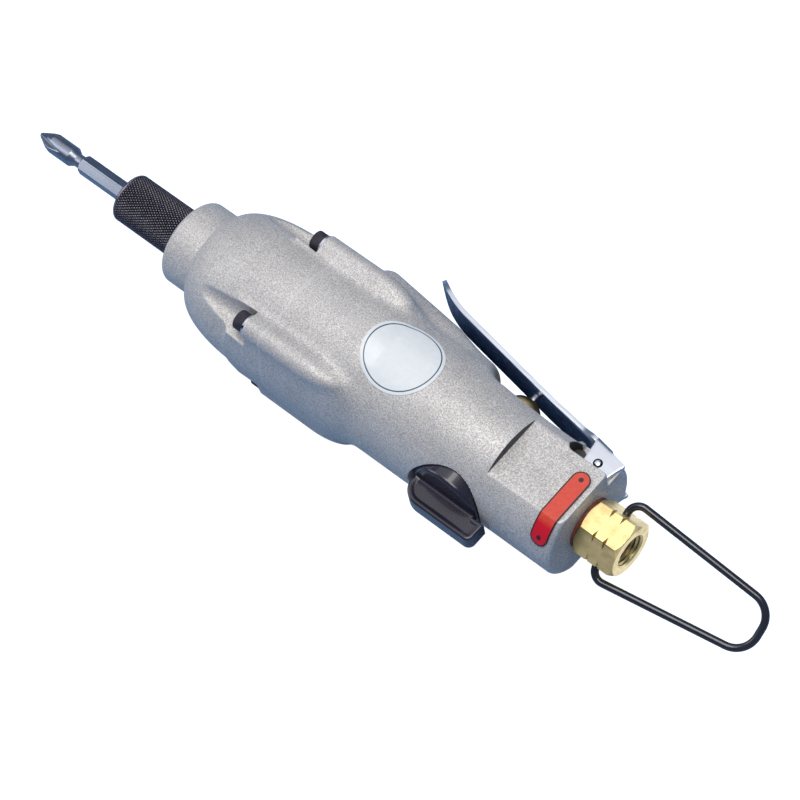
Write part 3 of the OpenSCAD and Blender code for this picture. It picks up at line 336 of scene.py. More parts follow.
# -------- materials
class Look:
    """A node material on object coordinates."""

    def __init__(self, name, **shader):
        self.material = bpy.data.materials.new(name)
        self.material.use_nodes = True
        self.tree = self.material.node_tree
        self.tree.nodes.clear()
        out = self.tree.nodes.new("ShaderNodeOutputMaterial")
        self.bsdf = self.tree.nodes.new("ShaderNodeBsdfPrincipled")
        self.tree.links.new(self.bsdf.outputs[0], out.inputs[0])
        for key, value in shader.items():
            self.bsdf.inputs[key.replace("_", " ")].default_value = value
        self.coords = self.tree.nodes.new("ShaderNodeTexCoord").outputs["Object"]

    def node(self, kind, inputs=None, **props):
        n = self.tree.nodes.new(kind)
        for key, value in props.items():
            setattr(n, key, value)
        for key, value in (inputs or {}).items():
            self.put(n.inputs[key], value)
        return n

    def put(self, socket, value):
        if isinstance(value, bpy.types.NodeSocket):
            self.tree.links.new(value, socket)
        else:
            socket.default_value = value

    def math(self, op, a, b=None):
        n = self.node("ShaderNodeMath", {0: a}, operation=op)
        if b is not None:
            self.put(n.inputs[1], b)
        return n.outputs[0]

    def times(self, a, b):
        return self.math("MULTIPLY", a, b)

    def minus(self, a, b):
        return self.math("SUBTRACT", a, b)

    def gap(self, a, b):
        return self.math("ABSOLUTE", self.minus(a, b))

    def length(self, a, b):
        """Square root of a times a plus b times b."""
        return self.math("SQRT", self.math("ADD", self.times(a, a), self.times(b, b)))

    def stretch(self, scale):
        return self.node("ShaderNodeMapping", {"Vector": self.coords, "Scale": scale}).outputs[0]

    def noise(self, scale, detail=3.0, rough=0.5, coords=None):
        return self.node("ShaderNodeTexNoise", {"Vector": coords or self.coords, "Scale": scale,
                                                "Detail": detail, "Roughness": rough}).outputs[0]

    def ramp(self, factor, stops):
        n = self.node("ShaderNodeValToRGB", {"Fac": factor})
        marks = n.color_ramp.elements
        marks.remove(marks[0])
        marks[0].position = stops[0][0]
        marks[0].color = stops[0][1] + (1,)
        for place, colour in stops[1:]:
            marks.new(place).color = colour + (1,)
        return n.outputs[0]

    def mix(self, factor, a, b, mode="MIX"):
        n = self.node("ShaderNodeMix", data_type="RGBA", blend_type=mode)
        for i, v in ((0, factor), (6, a), (7, b)):
            if not isinstance(v, bpy.types.NodeSocket) and i and len(v) == 3:
                v = tuple(v) + (1,)
            self.put(n.inputs[i], v)
        return n.outputs[2]

    def remap(self, value, low, high, to_low=0.0, to_high=1.0):
        return self.node("ShaderNodeMapRange", {"Value": value, 1: low, 2: high, 3: to_low,
                                                4: to_high}).outputs[0]

    def axis(self, i):
        return self.node("ShaderNodeSeparateXYZ", {0: self.coords}).outputs[i]

    def facing(self, i):
        """Part i of the direction that the surface faces."""
        normal = self.node("ShaderNodeNewGeometry").outputs["Normal"]
        return self.node("ShaderNodeSeparateXYZ", {0: normal}).outputs[i]

    def stored(self, name):
        """Number that store() kept on the mesh."""
        return self.node("ShaderNodeAttribute", attribute_name=name,
                         attribute_type="GEOMETRY").outputs["Fac"]

    def edge(self, low, high):
        """1 along raised edges, from the mesh itself."""
        point = self.node("ShaderNodeNewGeometry").outputs["Pointiness"]
        return self.remap(point, low, high)

    def set(self, **sockets):
        for key, value in sockets.items():
            self.put(self.bsdf.inputs[key.replace("_", " ")], value)

    def bump(self, height, distance, strength=1.0):
        n = self.node("ShaderNodeBump", {"Height": height, "Distance": distance * MM,
                                         "Strength": strength})
        self.tree.links.new(n.outputs[0], self.bsdf.inputs["Normal"])


def cast_look(name, tone=(0.63, 0.605, 0.58)):
    """Bead-blasted cast aluminium: fine grains over pale clouds, with a painted highlight along its
    edges and painted shade in the lever's slot, at the flat's front wall and in the collar's
    crease."""
    look = Look(name, Metallic=0.3)
    cloud = look.noise(60.0, 4.0, 0.6)
    grain = look.noise(2300.0, 2.0, 0.7)
    pit = look.noise(1300.0, 2.0, 0.6)
    base = look.mix(look.remap(cloud, 0.35, 0.65), [c * 0.92 for c in tone],
                    [c * 1.05 for c in tone])
    base = look.mix(look.remap(grain, 0.36, 0.64),
                    look.mix(1.0, base, (0.70, 0.70, 0.73), "MULTIPLY"),
                    look.mix(1.0, base, (1.40, 1.38, 1.34), "MULTIPLY"))
    base = look.mix(look.remap(pit, 0.25, 0.45, 0.5, 0.0), base, (0.36, 0.35, 0.37))
    # Painted highlight: edges found from the mesh are made lighter.
    base = look.mix(look.times(look.edge(0.508, 0.55), 0.6), base, (0.86, 0.85, 0.84))
    # Painted shade: the round end of the lever's slot below the flat, the flat's front wall that
    # faces +X and the crease at the collar's neck are darkened nearly to black.
    x, y, z = [look.axis(i) for i in range(3)]
    far = look.length(look.minus(x, SLOT_X * MM), look.minus(y, (SLOT_Y + SLOT_END_R) * MM))
    deep = look.remap(look.math("ABSOLUTE", z), 16.2 * MM, 16.6 * MM, 1.0, 0.0)
    slot = look.times(look.remap(far, 2.4 * MM, 2.9 * MM, 1.0, 0.0), deep)
    wall = look.times(look.remap(look.facing(0), 0.55, 0.75),
                      look.remap(look.gap(x, FLAT_X * MM), 0.8 * MM, 1.2 * MM, 1.0, 0.0))
    neck = look.remap(look.gap(x, (COLLAR_LEN + 0.2) * MM), 0.1 * MM, 0.9 * MM, 0.42, 0.0)
    painted_shade = look.math("MAXIMUM", neck, look.math("MAXIMUM", slot, wall))
    base = look.mix(look.times(painted_shade, 0.94), base, (0.012, 0.012, 0.016))
    look.set(Base_Color=base, Metallic=look.remap(painted_shade, 0.0, 1.0, 0.3, 0.0),
             Roughness=look.remap(grain, 0.3, 0.7, 0.62, 0.42))
    height = look.math("ADD", look.times(grain, 0.6), look.times(pit, 0.6))
    look.bump(height, 0.20, 0.8)
    return look.material


def steel_look(name, tone, rough, grain=(30, 900, 900)):
    """Bright or dark steel with fine lines from turning or drawing."""
    look = Look(name, Metallic=1.0)
    lines = look.noise(1.0, 2.0, 0.6, look.stretch(grain))
    smudge = look.noise(90.0, 3.0, 0.6)
    base = look.mix(look.remap(smudge, 0.3, 0.7), [c * 0.86 for c in tone], tone)
    look.set(Base_Color=base,
             Roughness=look.math("ADD", look.remap(lines, 0.3, 0.7, rough - 0.06, rough + 0.06),
                                 look.remap(smudge, 0.4, 0.7, 0.0, 0.06)))
    look.bump(lines, 0.01, 0.35)
    return look.material


def black_look(name, tone, rough, coat=0.0, scale=1400.0, depth=0.02):
    """Black paint, oxide or moulded plastic with a fine skin."""
    look = Look(name, Coat_Weight=coat, Coat_Roughness=0.08)
    skin = look.noise(scale, 3.0, 0.6)
    smudge = look.noise(70.0, 3.0, 0.6)
    base = look.mix(look.remap(smudge, 0.35, 0.7), tone, [c * 1.7 + 0.004 for c in tone])
    # Painted highlight: edges found from the mesh are made lighter.
    base = look.mix(look.times(look.edge(0.52, 0.66), 0.35), base,
                    [c * 5 + 0.03 for c in tone])
    look.set(Base_Color=base, Roughness=look.remap(skin, 0.3, 0.7, rough - 0.05, rough + 0.07))
    look.bump(skin, depth, 0.5)
    return look.material


def brass_look(name, tone=(0.72, 0.57, 0.27)):
    """Drawn brass with faint stains, and painted shade darkening the faces that look down."""
    look = Look(name, Metallic=1.0)
    lines = look.noise(1.0, 3.0, 0.6, look.stretch((60, 500, 500)))
    stain = look.noise(240.0, 4.0, 0.65)
    base = look.mix(look.remap(stain, 0.46, 0.66, 0.0, 0.7), tone, (0.46, 0.34, 0.15))
    base = look.mix(look.times(look.edge(0.52, 0.62), 0.5), base, (0.90, 0.79, 0.50))
    # Painted shade: faces that look towards -Y are darkened.
    base = look.mix(look.remap(look.facing(1), -0.5, -0.2, 0.56, 0.0), base, (0.05, 0.035, 0.02))
    look.set(Base_Color=base, Roughness=look.remap(lines, 0.3, 0.7, 0.30, 0.50))
    look.bump(lines, 0.03, 0.7)
    return look.material


def plain_look(name, tone, rough):
    """Rubber, fibre or paper of one tone with a fine grain."""
    look = Look(name, Metallic=0.0)
    grain = look.noise(600.0, 3.0, 0.6)
    base = look.mix(look.remap(grain, 0.3, 0.7), [c * 0.75 for c in tone],
                    [min(1.0, c * 1.2) for c in tone])
    look.set(Base_Color=base, Roughness=look.remap(grain, 0.3, 0.7, rough - 0.07, rough + 0.07))
    look.bump(grain, 0.02, 0.5)
    return look.material


def lever_look(name):
    """Plated sheet steel, bright outside; on the face under the blade a painted reflection, navy
    shade rising to a pale rim.
    """
    look = Look(name, Metallic=1.0)
    lines = look.noise(1.0, 2.0, 0.6, look.stretch((12, 700, 260)))
    smudge = look.noise(60.0, 3.0, 0.6)
    # Painted reflection and shade: a navy gradient across the face under the blade, pale at its +Z
    # edge.
    across = look.remap(look.axis(2), -7.0 * MM, 7.6 * MM)
    painted_reflection = look.ramp(look.math("ADD", across, look.remap(smudge, 0.3, 0.7, -0.06, 0.06)),
                     [(0.0, (0.014, 0.020, 0.055)), (0.3, (0.024, 0.046, 0.130)),
                      (0.78, (0.036, 0.066, 0.175)), (0.9, (0.16, 0.22, 0.38)),
                      (1.0, (0.88, 0.93, 0.98))])
    under = look.remap(look.facing(1), -0.75, -0.55, 1.0, 0.0)
    forward = look.remap(look.axis(0), 157.0 * MM, 160.0 * MM, 1.0, 0.0)
    painted_reflection_mask = look.times(under, forward)
    base = look.mix(painted_reflection_mask, (0.70, 0.72, 0.77), painted_reflection)
    # Painted reflection: the pale rim loses its metal so it shows white.
    rim = look.times(painted_reflection_mask, look.remap(across, 0.86, 1.0))
    look.set(Base_Color=base, Metallic=look.remap(rim, 0.0, 1.0, 1.0, 0.1),
             Roughness=look.remap(lines, 0.3, 0.7, 0.24, 0.38))
    look.bump(lines, 0.01, 0.4)
    return look.material


def rivet_look(name):
    """Bright pin whose head's outer ring is painted black as shade, as in a countersink."""
    look = Look(name, Metallic=1.0)
    grain = look.noise(1500.0, 2.0)
    far = look.length(look.minus(look.axis(0), PIN_X * MM), look.minus(look.axis(1), PIN_Y * MM))
    # Painted shade: past 1.1 mm from the pin's axis the head is black.
    rim = look.remap(far, 0.95 * MM, 1.1 * MM)
    look.set(Base_Color=look.mix(rim, (0.80, 0.82, 0.86), (0.02, 0.018, 0.022)),
             Roughness=look.remap(grain, 0.3, 0.7, 0.22, 0.36))
    look.bump(grain, 0.01, 0.3)
    return look.material


def knurl_look(name):
    """Black oxide whose knurl points are lightened, partly as wear and partly as a painted
    highlight.
    """
    look = Look(name, Metallic=0.6, Coat_Weight=0.2)
    skin = look.noise(1400.0, 3.0, 0.6)
    # The knurl's points are lightened, as wear and as a painted highlight.
    point = look.remap(look.stored("wear_and_highlight"), 0.62, 0.98)
    dark = look.mix(look.remap(skin, 0.35, 0.7), (0.004, 0.003, 0.006),
                    (0.010, 0.008, 0.014))
    wear_and_highlight = look.times(point, look.remap(skin, 0.35, 0.6, 0.3, 0.9))
    look.set(Base_Color=look.mix(wear_and_highlight, dark, (0.42, 0.38, 0.46)),
             Roughness=look.remap(skin, 0.3, 0.7, 0.26, 0.40))
    look.bump(skin, 0.01, 0.4)
    return look.material


CAST = cast_look("cast_aluminium")
RIVET = rivet_look("riveted_pin")
KNURL = knurl_look("knurled_oxide")
STEEL = steel_look("bright_steel", (0.86, 0.87, 0.90), 0.30)
TOOL = steel_look("tool_steel", (0.36, 0.385, 0.45), 0.28, (50, 1500, 1500))
DARK = black_look("black_oxide", (0.012, 0.011, 0.014), 0.34, 0.25)
SCREW = black_look("black_screw", (0.020, 0.016, 0.024), 0.38, 0.15)
WIRE = black_look("black_paint", (0.014, 0.012, 0.018), 0.20, 0.7, 900.0, 0.01)
KNOB = black_look("black_plastic", (0.014, 0.011, 0.021), 0.24, 0.6, 1800.0, 0.012)
BRASS = brass_look("brass")
BRONZE = steel_look("bronze", (0.66, 0.44, 0.24), 0.34)
VANE = plain_look("vane_composite", (0.22, 0.12, 0.06), 0.6)
LEVER = lever_look("lever_steel")
RUBBER = plain_look("black_rubber", (0.014, 0.014, 0.014), 0.72)
FIBRE = plain_look("red_fibre", (0.20, 0.055, 0.035), 0.75)
GASKET = plain_look("gasket_paper", (0.05, 0.05, 0.05), 0.85)

SLOT_LOOK = {
    "cast_housing": CAST, "gasket": GASKET, "black_steel": DARK, "bright_steel": STEEL,
    "tool_steel": TOOL, "bronze": BRONZE, "brass": BRASS, "vane_composite": VANE,
    "lever_steel": LEVER, "knob_plastic": KNOB, "seal_rubber": RUBBER, "seal_fibre": FIBRE,
}
for part in frame["record"]["subparts"]:
    look = SLOT_LOOK.get(part["material_slot"])
    if look:
        for s in nodes[part["node"]].material_slots:
            s.material = look


# -------- housings
def nose_outline():
    """Half outline of the front housing before its bosses are added."""
    points = [(0, -1)] + arc(COLLAR_EDGE, COLLAR_R - COLLAR_EDGE, COLLAR_EDGE, 180, 90, 8)
    points.append((COLLAR_LEN, COLLAR_R))
    for i in range(25):
        a = math.radians(90 * i / 24)
        points.append((COLLAR_LEN + SWELL_LEN * (1 - math.cos(a)),
                       NECK_R + (BULB_R - NECK_R) * math.sin(a)))
    return points + [(SEAM_X + 4, BULB_R), (SEAM_X + 4, -1)]


def tail_radius(x):
    """Radius of the round rear housing at a place along it."""
    if x <= BULB_END_X:
        return BULB_R
    if x <= WAIST_X:
        s = (x - BULB_END_X) / (WAIST_X - BULB_END_X)
        return BULB_R + (WAIST_R - BULB_R) * s
    if x <= TAPER_X:
        return WAIST_R
    s = min(1.0, (x - TAPER_X) / (TAIL_X - TAPER_X))
    return TAIL_R + (WAIST_R - TAIL_R) * (1 + math.cos(math.pi * s)) / 2


def tail_outline():
    """Half outline of the rear housing before its flats, ridge and bosses are made."""
    places = [SEAM_X - 4, BULB_END_X, WAIST_X] + list(np.linspace(TAPER_X, TAIL_X, 25))
    points = [(SEAM_X - 4, -1)] + [(x, tail_radius(x)) for x in places]
    points += arc(HOUSING_LEN - TAIL_EDGE, TAIL_R - TAIL_EDGE, TAIL_EDGE, 90, 0, 8)
    return points + [(HOUSING_LEN, -1)]


nose_table = Table(nose_outline(), (-4, -2), (64, 40))
tail_table = Table(tail_outline(), (52, -2), (182, 40))
land_curve = [(LAND_X + LAND_LEN * (1 - math.cos(math.radians(a))),
               LAND_Y + LAND_RISE * (1 - math.sin(math.radians(a)))) for a in range(0, 91, 6)]
land_table = Table([(LAND_X, 60)] + land_curve
                   + [(BOSS_X, LAND_Y), (BOSS_X, BOSS_Y), (ROUND_X, BOSS_Y), (ROUND_X + 1, 22),
                      (ROUND_X + 1, 60)], (52, -32), (184, 40))


def rib_field(x, ay, az):
    """Screw boss whose flank drops straight down and whose far end fades out."""
    fade = np.maximum(x - RIB_FADE_X, 0) * RIB_FADE
    flank = np.hypot(ay - SCREW_C, np.maximum(az - SCREW_C, 0))
    return np.hypot(flank, fade) - RIB_R


def front_field(x, y, z):
    rho = np.hypot(y, z)
    ay, az = np.abs(y), np.abs(z)
    d = nose_table(x, rho)
    bolt = np.hypot(ay - SCREW_C, az - SCREW_C)
    d = blend_min(d, np.maximum(rib_field(x, ay, az), RIB_X - x), RIB_BLEND)
    wall_y = LANE_Y + LANE_OPEN * (SEAT_X - x) + LANE_R
    floor_z = LANE_Z + LANE_FALL * (SEAT_X - x) + LANE_R
    lane = np.hypot(np.maximum(wall_y - ay, 0), np.maximum(floor_z - az, 0)) - LANE_R
    d = cut(d, np.maximum(lane, x - SEAT_X), 0.5)
    d = cut(d, np.maximum(rho - BUSHING_R, slab(x, -5, DRIVE_X)), 0.5)
    d = cut(d, np.maximum(rho - DRIVE_R, DRIVE_X - x), 0.3)
    return cut(d, np.maximum(bolt - BOLT_R, SEAT_X - 2 - x), 0.3)


def rear_field(x, y, z):
    rho = np.hypot(y, z)
    ay, az = np.abs(y), np.abs(z)
    d = tail_table(x, rho)
    bolt = np.hypot(ay - SCREW_C, az - SCREW_C)
    d = blend_min(d, rib_field(x, ay, az), RIB_BLEND)
    zz = np.maximum(az - RIDGE_HALF, 0)
    ridge = np.minimum(capsule(x, y, zz, RIDGE[0] + (0,), RIDGE[1] + (0,), RIDGE_R),
                       capsule(x, y, zz, RIDGE[1] + (0,), RIDGE[2] + (0,), RIDGE_R))
    d = blend_min(d, ridge, RIDGE_BLEND)
    d = blend_max(d, np.minimum(az - FLAT_Z, x - FLAT_X), FLAT_EDGE)
    soft = LAND_EDGE + LAND_SOFT * np.clip((LAND_SOFT_X - x) / LAND_SOFT_LEN, 0, 1)
    d = cut(d, land_table(x, y), soft)
    slot = np.minimum(np.maximum(SLOT_X - x, SLOT_Y - y),
                      np.hypot(x - SLOT_X, y - SLOT_Y - SLOT_END_R) - SLOT_END_R)
    d = cut(d, np.maximum(slot, WEB_Z - az), 0.35)
    d = cut(d, np.maximum(rho - MOTOR_R, x - MOTOR_END_X), 0.3)
    d = cut(d, np.maximum(bolt - BOLT_R, x - BOLT_END_X), 0.3)
    for radius, start in TAIL_BORES:
        d = cut(d, np.maximum(rho - radius, start - x), 0.3)
    duct = np.hypot(y - DUCT_Y, z) - DUCT_R
    d = cut(d, np.maximum(duct, slab(x, VALVE_X, DUCT_END)), 0.3)
    shaft = np.hypot(x - VALVE_X, z)
    for radius, low, high, soft in VALVE_BORES:
        d = cut(d, np.maximum(shaft - radius, slab(y, low, high)), soft)
    return cut(d, np.hypot(x - PIN_X, y - PIN_Y) - PIN_HOLE_R, 0.2)


STEP = 0.36
field_object("front_shell", front_field, (-1.1, -28.3, -28.3), (58.2, 28.3, 28.3), STEP, CAST,
             "housing", ["front_housing"],
             SEAM_X - SEAM_HALF, -1)
field_object("rear_shell", rear_field, (53.9, -28.3, -28.3), (175.2, 32, 28.3), STEP, CAST,
             "housing", ["rear_housing"],
             SEAM_X + SEAM_HALF, 1)


# -------- nose: sleeve, bit, screws
def hex_radius(flats, angle, turn=0.0):
    """Radius of a hexagon in a direction, its flats' middles at turn and every 60 degrees."""
    a = np.mod(angle - turn + math.pi / 6, math.pi / 3) - math.pi / 6
    return flats / 2 / np.cos(a)


def ridges(u):
    """Sharp ridges of height 0 to 1, one for each whole step of u."""
    return 1 - np.abs(np.mod(u, 1.0) * 2 - 1)


SLEEVE_X, SLEEVE_END, SLEEVE_R, SLEEVE_EDGE = -29.0, -0.4, 9.05, 0.9
KNURLS, KNURL_DEPTH, KNURL_TURN = 54, 0.42, math.tan(math.radians(32))


def knurled(x, r, a):
    """Radius with two crossing sets of grooves in the sleeve's outside."""
    u = a / (2 * math.pi) * KNURLS
    v = (x - SLEEVE_X) * KNURL_TURN / (2 * math.pi * SLEEVE_R) * KNURLS
    relief = np.minimum(ridges(u + v), ridges(u - v))
    fade = np.clip(np.minimum(x - SLEEVE_X - SLEEVE_EDGE, SLEEVE_END - SLEEVE_EDGE - x) / 0.5, 0, 1)
    outer = r > SLEEVE_R - 0.01
    return r - np.where(outer, KNURL_DEPTH * fade * (1 - np.minimum(1, 1.5 * relief)), 0)


outside = [(SLEEVE_X, 8.0)] + arc(SLEEVE_X + SLEEVE_EDGE, SLEEVE_R - SLEEVE_EDGE, SLEEVE_EDGE,
                                  180, 90, 5)
outside += [(x, SLEEVE_R) for x in np.linspace(SLEEVE_X + 1.0, SLEEVE_END - 0.8, 160)]
outside += arc(SLEEVE_END - 0.7, SLEEVE_R - 0.7, 0.7, 90, 0, 4)
inside = [(SLEEVE_END, 6.6), (-2.9, 6.6), (-2.9, 8.4), (-12.2, 8.4), (-12.2, 6.6), (-14.5, 6.6),
          (-14.5, 8.02), (SLEEVE_X, 8.02)]
pts, faces = turn_grid(outside + inside, KNURLS * 7, knurled, closed=True)
sleeve = add_mesh("knurled_sleeve", pts, faces, KNURL, "sleeve",
                  ["chuck_sleeve"], 60)
# How near each point is to the knurl's top, for the wear and painted highlight on its points.
wear_and_highlight = 1 - (SLEEVE_R - np.hypot(pts[:, 1], pts[:, 2])) / KNURL_DEPTH
store(sleeve.data, "wear_and_highlight", wear_and_highlight.clip(0, 1))

TIP_X, HEAD_END, HEX_START, BIT_END = -72.3, -54.4, -52.0, -3.0
TIP_R, BIT_NECK_R, HEX_HALF = 3.67, 2.4, 3.175
# Place, middle's distance from the axis and radius of the ball's groove
BALL_GROOVE_X, BALL_GROOVE_OUT, BALL_GROOVE_R = -9.0, 4.9, 1.9
# Half the cross's web at the tip, how it widens, the flutes' slope and what makes that a distance
WEB_HALF, WEB_GROWTH, FLUTE_SLOPE, FLUTE_SCALE = 0.55, 0.27, 1.05, 0.69
SIN_60, SIN_45 = 0.8660254, 0.70710678
bit_table = Table([(TIP_X, -1), (TIP_X, 0.7), (TIP_X + 0.5, 1.0), (TIP_X + 4.6, 3.1),
                   (TIP_X + 6.6, TIP_R), (HEAD_END - 2.2, TIP_R), (HEAD_END, BIT_NECK_R),
                   (HEX_START, BIT_NECK_R), (HEX_START + 1.8, TIP_R + 1),
                   (BIT_END - 1.6, TIP_R + 1), (BIT_END, 2.5), (BIT_END, -1)],
                  (TIP_X - 2, -2), (BIT_END + 2, 8), 0.05)


def bit_field(x, y, z):
    """Hexagonal bar with a ball groove, a neck and a cross-shaped tip of four flutes."""
    rho = np.hypot(y, z)
    d = bit_table(x, rho)
    hexagon = np.maximum(np.abs(y), np.maximum(np.abs(y / 2 + z * SIN_60),
                                               np.abs(y / 2 - z * SIN_60))) - HEX_HALF
    d = np.where(x > HEX_START - 0.3, blend_max(d, hexagon, 0.12), d)
    p, q = np.abs((y + z) * SIN_45), np.abs((z - y) * SIN_45)
    floor = WEB_HALF + (x - TIP_X) * WEB_GROWTH
    flute = (np.minimum(p, q) - (np.maximum(p, q) - floor) * FLUTE_SLOPE) * FLUTE_SCALE
    d = cut(d, flute, 0.22)
    return cut(d, np.hypot(x - BALL_GROOVE_X, rho - BALL_GROOVE_OUT) - BALL_GROOVE_R, 0.15)


field_object("cross_bit", bit_field, (TIP_X - 0.8, -4.4, -4.4), (BIT_END + 0.8, 4.4, 4.4),
             0.14, TOOL, "bit", ["driver_bit"], angle=28)

WASHER = [(HEAD_X, BOLT_R), (HEAD_X, 3.7), (HEAD_X + 0.1, 3.8), (HEAD_X + 0.8, 3.8),
          (HEAD_X + 0.9, 3.7), (HEAD_X + 0.9, BOLT_R)]
HEX_KEY, SERRATIONS, WASHER_STEPS = 3.0, 36, 60
top = HEAD_X - HEAD_LEN


def screw_radius(x, r, angle):
    """Radius with a hexagonal socket and the fine teeth round the head."""
    socket = (r > 1.4) & (r < 1.95) & (x < top + 1.95)
    r = np.where(socket, hex_radius(HEX_KEY, angle) * r / 1.6, r)
    grip = (r > HEAD_R - 0.01) & (x < HEAD_X - 0.3)
    return np.where(grip, r - 0.13 * (1 - ridges(angle / (2 * math.pi) * SERRATIONS)), r)


heads, rings = [], []
for i in range(4):
    a = math.radians(45 + 90 * i)
    place = (0, SCREW_C * math.sqrt(2) * math.cos(a), SCREW_C * math.sqrt(2) * math.sin(a))
    profile = [(top + 2.0, 0.0), (top + 2.0, 1.0), (top + 1.9, 1.6), (top + 0.25, 1.6),
               (top, 1.85), (top, 3.0)] + arc(top + 0.5, HEAD_R - 0.5, 0.5, 180, 90, 4)
    profile += [(top + 0.7, HEAD_R), (HEAD_X - 0.5, HEAD_R), (HEAD_X - 0.15, HEAD_R - 0.05),
                (HEAD_X, HEAD_R - 0.3), (HEAD_X, 2.0), (HEAD_X + 18.4, 2.0), (HEAD_X + 20, 1.5),
                (HEAD_X + 20, 0.0)]
    heads.append(turn_grid(profile, 144, screw_radius, centre=place))
    # The washer is a flat ring with a gap of 16 degrees
    pts, cols = [], len(WASHER)
    for k in range(WASHER_STEPS + 1):
        b = math.radians(8 + 344 * k / WASHER_STEPS) + a
        pts += [(x, place[1] + r * math.cos(b), place[2] + r * math.sin(b)) for x, r in WASHER]
    faces = grid_faces(WASHER_STEPS + 1, cols, flip=True) + end_faces(len(pts), cols)
    rings.append((np.array(pts), faces))
pts, faces = join_meshes(heads)
add_mesh("socket_screws", pts, faces, SCREW, "housing", ["case_screws"], 35, 1e-4)
pts, faces = join_meshes(rings)
add_mesh("split_washers", pts, faces, STEEL, "housing", ["lock_washers"], 35, 1e-4)

# The gasket is pressed thin between the two housings
pts, faces = turn_grid([(SEAM_X - GASKET_HALF, 20.1), (SEAM_X - GASKET_HALF, 25.2),
                        (SEAM_X + GASKET_HALF, 25.2), (SEAM_X + GASKET_HALF, 20.1)], 180,
                       closed=True)
add_mesh("pressed_gasket", pts, faces, GASKET, "housing", ["housing_gasket"], 30)

# -------- lever, pin and valve
LEVER_SLOPE = math.tan(math.radians(9.9))
UNDER_Y, REACH, SHEET_T, BLADE_HALF = 19.2, 87.0, 1.5, 7.8
# Rise of the curled tip, the share of the reach where it starts and its length as a share
CURL, CURL_START, CURL_SHARE = 4.2, 0.8, 0.2
CUP, CUP_LEN, WIDE_LEN = 0.5, 15, 6.0
EAR_OUT, EAR_IN, EAR_BEND, EAR_LOW = 10.65, 9.15, 0.9, 2.9
EAR_FRONT_SLANT, EAR_REAR_SLANT = 1.4, 2.0
# From the pin towards the tip: the blade's end, the ears' ends, and where the blade is slim
BLADE_END, EAR_END, EAR_FRONT, SLIM = -1.0, -7.4, 6.0, 13.0


def lever_under(s):
    """Height of the blade's underside at a distance from the pin towards the tip."""
    far = max(0.0, (s / REACH - CURL_START) / CURL_SHARE)
    return UNDER_Y + s * LEVER_SLOPE + CURL * far * far


def half_width(s):
    """Half the width of the blade at a distance from the pin."""
    to_tip = REACH - s
    blade = BLADE_HALF
    if to_tip < blade:
        blade = math.sqrt(max(0.0, blade * blade - (blade - to_tip) ** 2))
    t = min(1.0, max(0.0, (SLIM - s) / WIDE_LEN))
    return max(blade, 0.02) + (EAR_OUT - EAR_BEND - blade) * t * t * (3 - 2 * t)


def lever_mesh():
    """Blade, side bends and ears as one bent sheet, drawn along the middle of its thickness."""
    places = list(np.linspace(BLADE_END, SLIM, 20)) + list(np.linspace(SLIM + 1, 66, 36))
    places += list(np.linspace(67, REACH - BLADE_HALF, 14)) + [
        REACH - BLADE_HALF + BLADE_HALF * math.sin(math.radians(a)) for a in range(6, 91, 4)]
    pts, cols = [], 17
    for s in places:
        w = half_width(s)
        y = lever_under(s) + SHEET_T / 2
        cup = CUP * min(1.0, max(0.0, (s - SLIM) / CUP_LEN))
        for k in range(cols):
            z = -w + 2 * w * k / (cols - 1)
            pts.append((PIN_X - s, y - cup * (z / BLADE_HALF) ** 2, z))
    faces = grid_faces(len(places), cols, wrap_cols=False)
    # Ears hang from the blade's rear edges round a small bend and reach past its end
    mid = (EAR_IN + EAR_OUT) / 2
    low = PIN_Y - EAR_LOW
    ears = list(np.linspace(EAR_END, BLADE_END, 9))[:-1] + [p for p in places if p <= EAR_FRONT]
    steps = [0.15 + 0.85 * i / 7 for i in range(8)]
    n = 4 + len(steps)
    for side in (-1, 1):
        base = len(pts)
        for s in ears:
            top = lever_under(s) + SHEET_T / 2
            edge = half_width(s)
            if s < BLADE_END:
                edge = mid - 0.01
            row = [(PIN_X - s, top, side * edge)]
            for a in (30, 60, 90):
                row.append((PIN_X - s, top - EAR_BEND * (1 - math.cos(math.radians(a))),
                            side * (edge + (mid - edge) * math.sin(math.radians(a)))))
            for t in steps:
                y = top - EAR_BEND + (low - top + EAR_BEND) * t
                share = (top - y) / (top - low)
                front = PIN_X - EAR_FRONT + EAR_FRONT_SLANT * share
                rear = PIN_X - EAR_END - EAR_REAR_SLANT * share
                u = (s - EAR_FRONT) / (EAR_END - EAR_FRONT)
                row.append((front + (rear - front) * u, y, side * mid))
            pts += row
        quads = grid_faces(len(ears), n, wrap_cols=False, base=base)
        faces += quads if side > 0 else [q[::-1] for q in quads]
    return pts, faces


pts, faces = lever_mesh()
lever = add_mesh("lever_sheet", pts, faces, LEVER, "lever", ["throttle_lever"], 60,
                 1e-2)
solid = lever.modifiers.new("thickness", "SOLIDIFY")
solid.thickness, solid.offset, solid.use_even_offset = SHEET_T * MM, 0.0, True
edge = lever.modifiers.new("rounded", "BEVEL")
edge.width, edge.segments, edge.limit_method = 0.35 * MM, 3, "ANGLE"
edge.angle_limit = math.radians(50)

pin = [(-11.25, 0.0), (-11.25, 0.75), (-11.15, 0.95), (-10.95, 1.45), (-10.75, 1.6)]
pin += [(-z, r) for z, r in pin[::-1]]
pts, faces = turn_grid(pin, 48, axis="z", centre=(PIN_X, PIN_Y, 0))
add_mesh("lever_rivet", pts, faces, RIVET, "housing", ["lever_pin"], 30, 1e-4)

